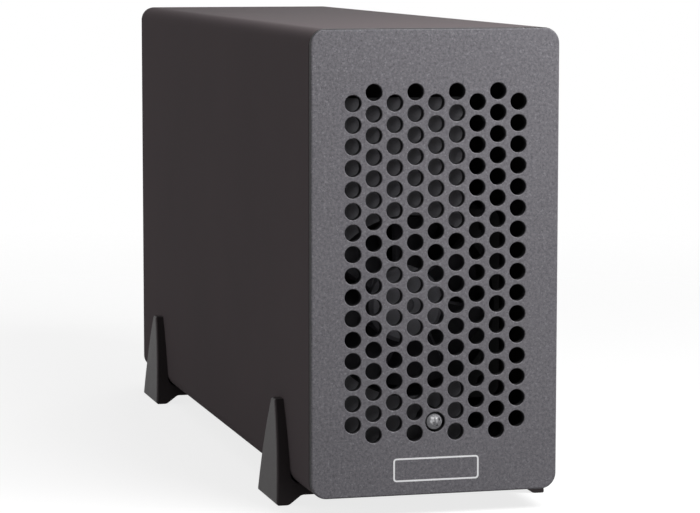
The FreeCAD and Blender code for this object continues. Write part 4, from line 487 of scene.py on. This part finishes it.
def lamp_clear():
    """Milky resin with slow ripples from its mould. The lead frame inside, as it looks lit through the resin,
    is painted on the surface as pale and dark shapes, with painted glints and painted shade; a painted glow
    evens out its shading, though the lamp is unlit.
    """
    material, tree = new_tree("lamp_clear")
    low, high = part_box("led_lamp")
    across = tree.axis("X") - (low.x + high.x) / 2
    upward = tree.axis("Z") - (low.z + high.z) / 2
    ripple = tree.noise(1.2 * MM, 2.0)

    def oval(x, z, half_width, half_height):
        """1 inside an upright oval about one place on the lens, in mm, with a soft edge."""
        wide = (across - x * MM) / (half_width * MM)
        tall = (upward - z * MM) / (half_height * MM)
        return tree.spread(wide * wide + tall * tall, 1.1, 0.6)

    # The lit lead frame as it looks through the resin, painted on the surface: the cup and post are painted
    # light, the glints painted highlights, and the hollow and the shade ovals painted shade.
    cup = oval(-1.05, 0.45, 0.6, 1.25)
    glints = oval(-1.0, 1.35, 0.55, 0.35) + oval(-1.45, 0.2, 0.35, 0.45)
    hollow = oval(-0.7, -0.1, 0.35, 0.4)
    post = oval(0.25, 0.6, 0.4, 0.85)
    shade = oval(1.2, 0.9, 0.35, 0.45) + oval(0.45, -0.95, 0.5, 0.35)
    along = tree.axis("Y")
    # Painted light makes the dome lighter towards its rim, and painted shade darkens its flanks inside the
    # holder.
    from_tip = tree.spread(along, low.y, low.y + 1.6 * MM)
    painted_flank_shade = tree.spread(along, low.y + 1.9 * MM, low.y + 2.4 * MM)
    resin = tree.mix(from_tip * 0.8 + ripple * 0.2, linear(88, 88, 91), linear(132, 132, 135))
    shaded = tree.mix(shade, resin, linear(48, 48, 50))
    with_post = tree.mix(post * 0.8, shaded, linear(150, 150, 152))
    with_cup = tree.mix(cup, with_post, linear(152, 152, 154))
    with_glints = tree.mix(glints, with_cup, linear(182, 182, 184))
    with_hollow = tree.mix(hollow * 0.8, with_glints, linear(70, 70, 73))
    inside = tree.mix(painted_flank_shade, with_hollow, linear(34, 34, 36))
    tree.surface({
        "Base Color": inside,
        # A painted glow: the lamp is unlit, and this emission only evens out the shading of its dome.
        "Emission Color": inside,
        "Emission Strength": 0.4,
        "Roughness": tree.level(ripple, 0.2, 0.3),
        "Subsurface Weight": 0.8,
        "Subsurface Scale": 1.6 * MM,
        "Subsurface Radius": (1.0, 1.0, 1.0),
        "Transmission Weight": 0.08,
        "IOR": 1.5,
        "Normal": tree.bump(ripple, 0.02 * MM, 0.4),
    })
    return material


def board_laminate():
    """Solder mask over copper: bundles of tracks under the mask, and the glass weave faintly showing."""
    material, tree = new_tree("board_laminate")
    across = tree.axis("X")
    along = tree.axis("Y")
    wander = tree.noise(22 * MM, 1.0)
    patch = tree.noise(14 * MM, 1.0)
    sway = 9 * MM
    pitch = 1.1 * MM
    track_share = 0.45
    lengthwise = tree.math("FRACT", (across + wander * sway) / pitch) < track_share
    crosswise = tree.math("FRACT", (along + wander * sway) / pitch) < track_share
    turned = patch > 0.5
    tracks = lengthwise * turned + crosswise * (1 - turned)
    routed = tree.noise(30 * MM, 2.0) > 0.46
    copper = tracks * routed + (1 - routed) * (tree.noise(17 * MM, 1.0) > 0.5)
    weave = tree.noise(0.5 * MM, 1.0)
    mask = tree.mix(copper, linear(16, 62, 40), linear(28, 92, 58))
    tree.surface({
        "Base Color": tree.mix(weave * 0.18, mask, linear(12, 44, 30)),
        "Roughness": tree.level(weave, 0.26, 0.36),
        "Normal": tree.bump(copper * 0.8 + weave * 0.2, 0.035 * MM, 0.8),
    })
    return material


FINISHES = {
    maker.__name__: maker() for maker in (
        sleeve_paint, panel_paint, foot_plastic, block_aluminium, plated_sheet, bracket_sheet, fan_plastic,
        rotor_plastic, screw_steel, screw_black, bearing_bronze, stator_steel, lead_rubber, white_plastic,
        lamp_clear, black_plastic, board_laminate, port_steel, chip_resin, pad_rubber, sink_aluminium,
        can_aluminium, inductor_ferrite, thumbscrew_nickel, standoff_brass, contact_gold, solder_tin,
        ceramic_tan, print_white,
    )
}


def dress_nodes():
    """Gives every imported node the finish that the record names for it."""
    for row in frame["record"]["subparts"]:
        slots = NODES[row["node"]].data.materials
        slots.clear()
        slots.append(FINISHES[row["material_slot"]])


# Repeated pieces, made by geometry nodes

# The output of a Random Value node that says yes or no.
RANDOM_CHOICE = 3


class Growth:
    """A geometry node tree with named inputs for its sizes."""

    def __init__(self, name):
        self.tree = bpy.data.node_groups.new(name, "GeometryNodeTree")
        self.tree.interface.new_socket("Geometry", in_out="OUTPUT", socket_type="NodeSocketGeometry")
        self.inlet = self.tree.nodes.new("NodeGroupInput")
        self.outlet = self.tree.nodes.new("NodeGroupOutput")

    def size(self, name, kind="NodeSocketFloat"):
        """A named input, as a socket to link from."""
        self.tree.interface.new_socket(name, in_out="INPUT", socket_type=kind)
        return self.inlet.outputs[name]

    def node(self, kind, settings=None, sockets=None, out=0):
        """Adds one node: its settings first, then the values or links of its sockets."""
        added = self.tree.nodes.new(kind)
        for name, value in (settings or {}).items():
            setattr(added, name, value)
        for name, value in (sockets or {}).items():
            if isinstance(value, bpy.types.NodeSocket):
                self.tree.links.new(value, added.inputs[name])
            else:
                added.inputs[name].default_value = value
        return added.outputs[out]

    def finish(self, instances, material):
        """Makes the copies real and gives them their finish."""
        real = self.node("GeometryNodeRealizeInstances", None, {"Geometry": instances})
        painted = self.node("GeometryNodeSetMaterial", None, {"Geometry": real, "Material": material})
        self.tree.links.new(painted, self.outlet.inputs["Geometry"])
        return self.tree


def block_grid():
    """Copies of a block on a level grid from its first place; each may be a pair, spread apart along X."""
    growth = Growth("block_grid")
    columns = growth.size("Columns", "NodeSocketInt")
    rows = growth.size("Rows", "NodeSocketInt")
    column_pitch = growth.size("Column pitch")
    row_pitch = growth.size("Row pitch")
    start = growth.size("Start", "NodeSocketVector")
    block = growth.size("Block", "NodeSocketVector")
    pair = growth.size("Pair", "NodeSocketInt")
    spread = growth.size("Spread")
    material = growth.size("Finish", "NodeSocketMaterial")

    def along(count, pitch, way):
        """Points in a row."""
        offset = growth.node("ShaderNodeCombineXYZ", None, {way: pitch})
        return growth.node("GeometryNodeMeshLine", {"mode": "OFFSET"}, {"Count": count, "Offset": offset})

    def copies(points, item):
        """One item on each point."""
        return growth.node("GeometryNodeInstanceOnPoints", None, {"Points": points, "Instance": item})

    cube = growth.node("GeometryNodeMeshCube", None, {"Size": block})
    twin = copies(along(pair, spread, "X"), cube)
    column = copies(along(columns, column_pitch, "X"), twin)
    grid = copies(along(rows, row_pitch, "Y"), column)
    moved = growth.node("GeometryNodeTransform", None, {"Geometry": grid, "Translation": start})
    return growth.finish(moved, material)


def disc_scatter():
    """Flat discs on a level grid, some left out and each moved a little, with a fixed seed."""
    growth = Growth("disc_scatter")
    width = growth.size("Width")
    length = growth.size("Length")
    columns = growth.size("Columns", "NodeSocketInt")
    rows = growth.size("Rows", "NodeSocketInt")
    start = growth.size("Start", "NodeSocketVector")
    sides = growth.size("Sides", "NodeSocketInt")
    radius = growth.size("Radius")
    thick = growth.size("Thickness")
    stray = growth.size("Stray", "NodeSocketVector")
    share = growth.size("Share kept")
    seed = growth.size("Seed", "NodeSocketInt")
    material = growth.size("Finish", "NodeSocketMaterial")
    sheet = growth.node("GeometryNodeMeshGrid", None, {
        "Size X": width, "Size Y": length, "Vertices X": columns, "Vertices Y": rows,
    })
    back = growth.node("ShaderNodeVectorMath", {"operation": "SCALE"}, {0: stray, "Scale": -1.0})
    shift = growth.node("FunctionNodeRandomValue", {"data_type": "FLOAT_VECTOR"}, {
        0: back, 1: stray, "Seed": seed,
    })
    moved = growth.node("GeometryNodeSetPosition", None, {"Geometry": sheet, "Offset": shift})
    kept = growth.node("FunctionNodeRandomValue", {"data_type": "BOOLEAN"}, {
        "Probability": share, "Seed": seed,
    }, out=RANDOM_CHOICE)
    disc = growth.node("GeometryNodeMeshCylinder", None, {
        "Vertices": sides, "Radius": radius, "Depth": thick,
    })
    copies = growth.node("GeometryNodeInstanceOnPoints", None, {
        "Points": moved, "Selection": kept, "Instance": disc,
    })
    placed = growth.node("GeometryNodeTransform", None, {"Geometry": copies, "Translation": start})
    return growth.finish(placed, material)


def grow(name, tree, sizes, body):
    """Runs a tree with its sizes set, keeps the result as a plain mesh, and lets it ride on a body."""
    carrier = bpy.data.objects.new(f"{name}_carrier", bpy.data.meshes.new(f"{name}_seed"))
    bpy.context.scene.collection.objects.link(carrier)
    modifier = carrier.modifiers.new("growth", "NODES")
    modifier.node_group = tree
    for item in tree.interface.items_tree:
        if item.in_out == "INPUT":
            modifier[item.identifier] = sizes[item.name]
    seen = carrier.evaluated_get(bpy.context.evaluated_depsgraph_get())
    mesh = bpy.data.meshes.new_from_object(seen)
    bpy.data.objects.remove(carrier)
    add_piece(name, mesh, sizes["Finish"], body)


def plain_mesh(name, built):
    """The mesh that was built face by face, as an object's own."""
    mesh = bpy.data.meshes.new(name)
    built.to_mesh(mesh)
    built.free()
    return mesh


def add_piece(name, mesh, material, body):
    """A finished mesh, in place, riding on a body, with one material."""
    mesh.name = name
    mesh.materials.clear()
    mesh.materials.append(material)
    piece = bpy.data.objects.new(name, mesh)
    bpy.context.scene.collection.objects.link(piece)
    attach(piece, body)


# Small parts of the board

BLOCK_GRID = block_grid()
DISC_SCATTER = disc_scatter()
BOARD_LOW, BOARD_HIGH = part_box("main_board")
BOARD_TOP = BOARD_HIGH.z


def blocks(name, start, block, finish, columns=1, rows=1, column_pitch=0.0, row_pitch=0.0,
           pair=1, spread=0.0):
    """A grid of small blocks on the cage; start is the middle of the first one."""
    sizes = {
        "Columns": columns, "Rows": rows, "Column pitch": column_pitch, "Row pitch": row_pitch,
        "Start": start, "Block": block, "Pair": pair, "Spread": spread, "Finish": FINISHES[finish],
    }
    grow(name, BLOCK_GRID, sizes, "cage")


def chip_parts(name, x, y, columns, rows, column_pitch, row_pitch, body_finish):
    """Rows of small two-ended parts: a body with a tinned cap at each end."""
    body = Vector((1.1, 0.8, 0.55)) * MM
    cap = Vector((0.28, 0.82, 0.57)) * MM
    spread = body.x + cap.x
    grid = {"columns": columns, "rows": rows, "column_pitch": column_pitch, "row_pitch": row_pitch}
    body_start = (x, y, BOARD_TOP + body.z / 2)
    cap_start = (x - spread / 2, y, BOARD_TOP + cap.z / 2)
    blocks(f"{name}_bodies", body_start, body, body_finish, **grid)
    blocks(f"{name}_caps", cap_start, cap, "solder_tin", pair=2, spread=spread, **grid)


def dress_board():
    """Rows of chip parts round the controller and the supply, and plated holes over the rest."""
    sink_low, sink_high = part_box("heatsink")
    coil_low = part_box("inductors")[0]
    chip_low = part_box("regulator_chips")[0]
    socket_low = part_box("pcie_slot")[0]
    step = 2.6 * MM
    # Name, first place across and along, columns, rows, their pitches, and the finish of the bodies
    groups = (
        ("decoupling_front", sink_low.x + 2 * MM, sink_low.y - 6 * MM, 9, 2, 3.6 * MM, step, "ceramic_tan"),
        ("decoupling_side", sink_high.x + 4 * MM, sink_low.y + 2 * MM, 2, 10, 3.4 * MM, step, "chip_resin"),
        ("supply_row", chip_low.x - 7 * MM, coil_low.y - 5 * MM, 6, 2, 3.2 * MM, step, "chip_resin"),
        ("socket_row", socket_low.x - 5 * MM, socket_low.y + 4 * MM, 1, 22, step, 3.4 * MM, "ceramic_tan"),
        ("front_row", BOARD_LOW.x + 10 * MM, BOARD_LOW.y + 24 * MM, 12, 1, 3.4 * MM, step, "chip_resin"),
    )
    for group in groups:
        chip_parts(*group)
    middle = (BOARD_LOW + BOARD_HIGH) / 2
    forward = 14 * MM
    grow("plated_holes", DISC_SCATTER, {
        "Width": BOARD_HIGH.x - BOARD_LOW.x - 8 * MM,
        "Length": BOARD_HIGH.y - BOARD_LOW.y - 40 * MM,
        "Columns": 16,
        "Rows": 34,
        "Start": (middle.x, middle.y - forward, BOARD_TOP),
        "Sides": 12,
        "Radius": 0.3 * MM,
        "Thickness": 0.05 * MM,
        "Stray": (1.6 * MM, 1.6 * MM, 0.0),
        "Share kept": 0.45,
        "Seed": 7,
        "Finish": FINISHES["contact_gold"],
    }, "cage")


def dress_socket():
    """The socket's two rows of contacts, inside its groove."""
    low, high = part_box("pcie_slot")
    contact = Vector((0.3, 0.55, 5.5)) * MM
    end_wall = 3.4 * MM
    pitch = 1.0 * MM
    spread = 1.44 * MM
    drop = 1.2 * MM
    count = int((high.y - low.y - 2 * end_wall) / pitch)
    start = ((low.x + high.x) / 2 - spread / 2, low.y + end_wall, high.z - drop - contact.z / 2)
    blocks("socket_contacts", start, contact, "contact_gold", rows=count, row_pitch=pitch, pair=2,
           spread=spread)


def dress_ports():
    """Contacts on the tongue of each data port."""
    low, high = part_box("usb_c_tongues")
    width = 8.24 * MM
    contact = Vector((0.28, 3.6, 0.76)) * MM
    pitch = 0.5 * MM
    count = 12
    from_tip = 0.5 * MM
    for side, middle in (("left", low.x + width / 2), ("right", high.x - width / 2)):
        start = (middle - (count - 1) / 2 * pitch, high.y - from_tip - contact.y / 2, (low.z + high.z) / 2)
        blocks(f"port_contacts_{side}", start, contact, "contact_gold", columns=count, column_pitch=pitch)


# Flat printed shapes

PRINT_SINK = 0.02 * MM
PRINT_THICK = 0.05 * MM


def rounded_outline(width, height, radius, steps=6):
    """The points of a rounded rectangle about the origin, going round once."""
    points = []
    for i, (sign_x, sign_y) in enumerate(((1, -1), (1, 1), (-1, 1), (-1, -1))):
        centre = Vector((sign_x * (width / 2 - radius), sign_y * (height / 2 - radius)))
        for step in range(steps + 1):
            angle = (i - 1) * math.pi / 2 + step / steps * math.pi / 2
            points.append(centre + radius * Vector((math.cos(angle), math.sin(angle))))
    return points


def frame_mesh(name, outer, inner, to_frame):
    """A thin printed ring between two outlines of as many points, turned into the part's frame."""
    mesh = bmesh.new()
    rings = []
    for level in (-PRINT_SINK, PRINT_THICK - PRINT_SINK):
        for outline in (outer, inner):
            rings.append([mesh.verts.new(to_frame(p.x, p.y, level)) for p in outline])
    low_outer, low_inner, high_outer, high_inner = rings
    count = len(outer)
    for i in range(count):
        j = (i + 1) % count
        mesh.faces.new((high_outer[i], high_outer[j], high_inner[j], high_inner[i]))
        mesh.faces.new((low_inner[i], low_inner[j], low_outer[j], low_outer[i]))
        mesh.faces.new((low_outer[i], low_outer[j], high_outer[j], high_outer[i]))
        mesh.faces.new((high_inner[i], high_inner[j], low_inner[j], low_inner[i]))
    bmesh.ops.recalc_face_normals(mesh, faces=mesh.faces)
    return plain_mesh(name, mesh)


def plain_outline():
    """An empty printed frame low on the front panel."""
    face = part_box("front_panel")[0]
    width = 27.9 * MM
    height = 7.5 * MM
    line = 0.54 * MM
    radius = 1.1 * MM
    middle = Vector((0.35, 14.75)) * MM

    def on_panel(x, y, level):
        return Vector((middle.x + x, face.y - level, middle.y + y))

    outer = rounded_outline(width, height, radius)
    inner = rounded_outline(width - 2 * line, height - 2 * line, radius - line)
    mesh = frame_mesh("plain_outline", outer, inner, on_panel)
    add_piece("plain_outline", mesh, FINISHES["print_white"], "case")


def board_print():
    """White print on the board: a frame round each of the larger parts."""
    line = 0.2 * MM
    margin = 0.7 * MM
    radius = 0.5 * MM
    edge_gap = 1.5 * MM
    for node in ("heatsink", "pcie_slot", "fan_header", "led_header", "dc_jack"):
        low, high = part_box(node)
        width = high.x - low.x + 2 * margin
        height = min(high.y, BOARD_HIGH.y - edge_gap) - low.y + 2 * margin
        middle = Vector(((low.x + high.x) / 2, low.y - margin + height / 2))

        def on_board(x, y, level):
            return Vector((middle.x + x, middle.y + y, BOARD_TOP + level))

        outer = rounded_outline(width, height, radius)
        inner = rounded_outline(width - 2 * line, height - 2 * line, radius - line)
        mesh = frame_mesh(f"{node}_print", outer, inner, on_board)
        add_piece(f"{node}_print", mesh, FINISHES["print_white"], "cage")


# The lamp's inside

def lamp_insides():
    """The lamp's lead frame: a cup on its anvil, and the post beside it."""
    low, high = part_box("led_lamp")
    middle = Vector(((low.x + high.x) / 2, 0.0, (low.z + high.z) / 2))
    mesh = bmesh.new()

    def put(made, x, start, end):
        """Moves what was made to its place across the lamp and along it."""
        place = (middle.x + x, (start + end) / 2, middle.z)
        bmesh.ops.translate(mesh, vec=place, verts=made["verts"])

    def bar(x, start, end, width, depth):
        """A square bar along the lamp."""
        made = bmesh.ops.create_cube(mesh, size=1.0)
        bmesh.ops.scale(mesh, vec=(width, end - start, depth), verts=made["verts"])
        put(made, x, start, end)

    def cup(x, start, end, wide, narrow):
        """A round cup along the lamp, its wide end to the tip."""
        made = bmesh.ops.create_cone(mesh, cap_ends=True, segments=20, radius1=wide, radius2=narrow,
                                     depth=end - start)
        along_lamp = Euler((-math.pi / 2, 0, 0)).to_matrix()
        bmesh.ops.rotate(mesh, cent=(0, 0, 0), matrix=along_lamp, verts=made["verts"])
        put(made, x, start, end)

    anvil_across = -0.45 * MM
    post_across = 0.95 * MM
    cup_back = low.y + 3.4 * MM
    back = high.y - 0.3 * MM
    cup(anvil_across, low.y + 2.6 * MM, cup_back, 0.95 * MM, 0.6 * MM)
    bar(anvil_across, cup_back, back, 1.0 * MM, 0.5 * MM)
    bar(post_across, low.y + 2.7 * MM, back, 0.6 * MM, 0.5 * MM)
    lead_frame = plain_mesh("lamp_lead_frame", mesh)
    add_piece("lamp_lead_frame", lead_frame, FINISHES["port_steel"], "cage")


# Studio

def area_light(name, place, aim, size, power):
    """A square soft light at one place that points at another."""
    lamp = bpy.data.lights.new(name, "AREA")
    lamp.size = size
    lamp.energy = power
    light = bpy.data.objects.new(name, lamp)
    light.location = place
    light.rotation_euler = (aim - place).to_track_quat("-Z", "Y").to_euler()
    bpy.context.scene.collection.objects.link(light)


def make_lights():
    """A key from the front right, a light overhead, a weak fill from the left and a rim from behind."""
    middle = (CAD_BOX[0] + CAD_BOX[1]) / 2
    area_light("key", middle + Vector((0.17, -0.38, 0.38)), middle, 0.3, 3.35)
    area_light("overhead", middle + Vector((0.0, 0.15, 1.5)), middle, 1.3, 2.35)
    area_light("left_fill", middle + Vector((-1.6, 0.55, 0.35)), middle, 1.0, 5.5)
    area_light("rim", middle + Vector((0.7, 1.5, 0.6)), middle, 1.0, 8.0)


def in_view(tree):
    """1 where the camera sees the studio, straight or through clear resin, and less in gloss."""
    mirrored = 0.5
    seen = tree.node("ShaderNodeLightPath", out="Is Camera Ray")
    passed = tree.node("ShaderNodeLightPath", out="Is Transmission Ray")
    glossy = tree.node("ShaderNodeLightPath", out="Is Glossy Ray")
    return tree.math("MAXIMUM", tree.math("MAXIMUM", seen, passed), glossy * mirrored)


def make_world():
    """White behind the object and in its reflections, and a low even light from all round."""
    world = bpy.data.worlds.new("studio")
    bpy.context.scene.world = world
    world.use_nodes = True
    tree = Tree(world.node_tree)
    ambient = 0.15
    strength = tree.math("MAXIMUM", in_view(tree), ambient)
    glow = tree.node("ShaderNodeBackground", None, {"Color": WHITE, "Strength": strength})
    tree.node("ShaderNodeOutputWorld", None, {"Surface": glow})


def floor_finish():
    """Pale floor that keeps the shadow and fades into the white behind it."""
    material, tree = new_tree("studio_floor")
    away = tree.node("ShaderNodeVectorMath", {"operation": "LENGTH"}, {0: tree.place()}, out="Value")
    fade = tree.spread(away, 0.3, 0.75)
    tone = tree.noise(0.4, 2.0)
    lit = tree.node("ShaderNodeBsdfPrincipled", None, {
        "Base Color": tree.mix(tone, linear(138, 138, 138), linear(142, 142, 142)),
        "Roughness": 0.9,
        "Specular IOR Level": 0.0,
        "Emission Color": tree.mix(in_view(tree), BLACK, WHITE),
        "Emission Strength": 0.795,
    })
    clear = tree.node("ShaderNodeBsdfTransparent")
    tree.output(tree.node("ShaderNodeMixShader", None, {0: fade, 1: lit, 2: clear}))
    return material


def make_floor():
    """A round floor under the feet."""
    mesh = bmesh.new()
    bmesh.ops.create_circle(mesh, cap_ends=True, segments=96, radius=2.0)
    disc = plain_mesh("floor", mesh)
    disc.materials.append(floor_finish())
    floor = bpy.data.objects.new("floor", disc)
    below_feet = 0.02 * MM
    floor.location.z = -below_feet
    bpy.context.scene.collection.objects.link(floor)


def make_camera():
    """The camera at the photograph's place and angle."""
    camera = bpy.data.objects.new("camera", bpy.data.cameras.new("camera"))
    camera.location = Vector((-246.84, -991.12, 179.80)) * MM
    turn = 14.564
    down = 6.3717
    roll = -0.0387
    camera.rotation_euler = Euler((math.radians(90 - down), math.radians(roll), math.radians(-turn)))
    camera.data.sensor_width = 36.0
    camera.data.lens = 146.08
    camera.data.clip_start = 0.01
    camera.data.clip_end = 50.0
    bpy.context.scene.collection.objects.link(camera)
    bpy.context.scene.camera = camera


dress_nodes()
dress_board()
dress_socket()
dress_ports()
board_print()
plain_outline()
lamp_insides()
make_lights()
make_world()
make_floor()
make_camera()
bpy.context.scene.view_settings.view_transform = "Standard"
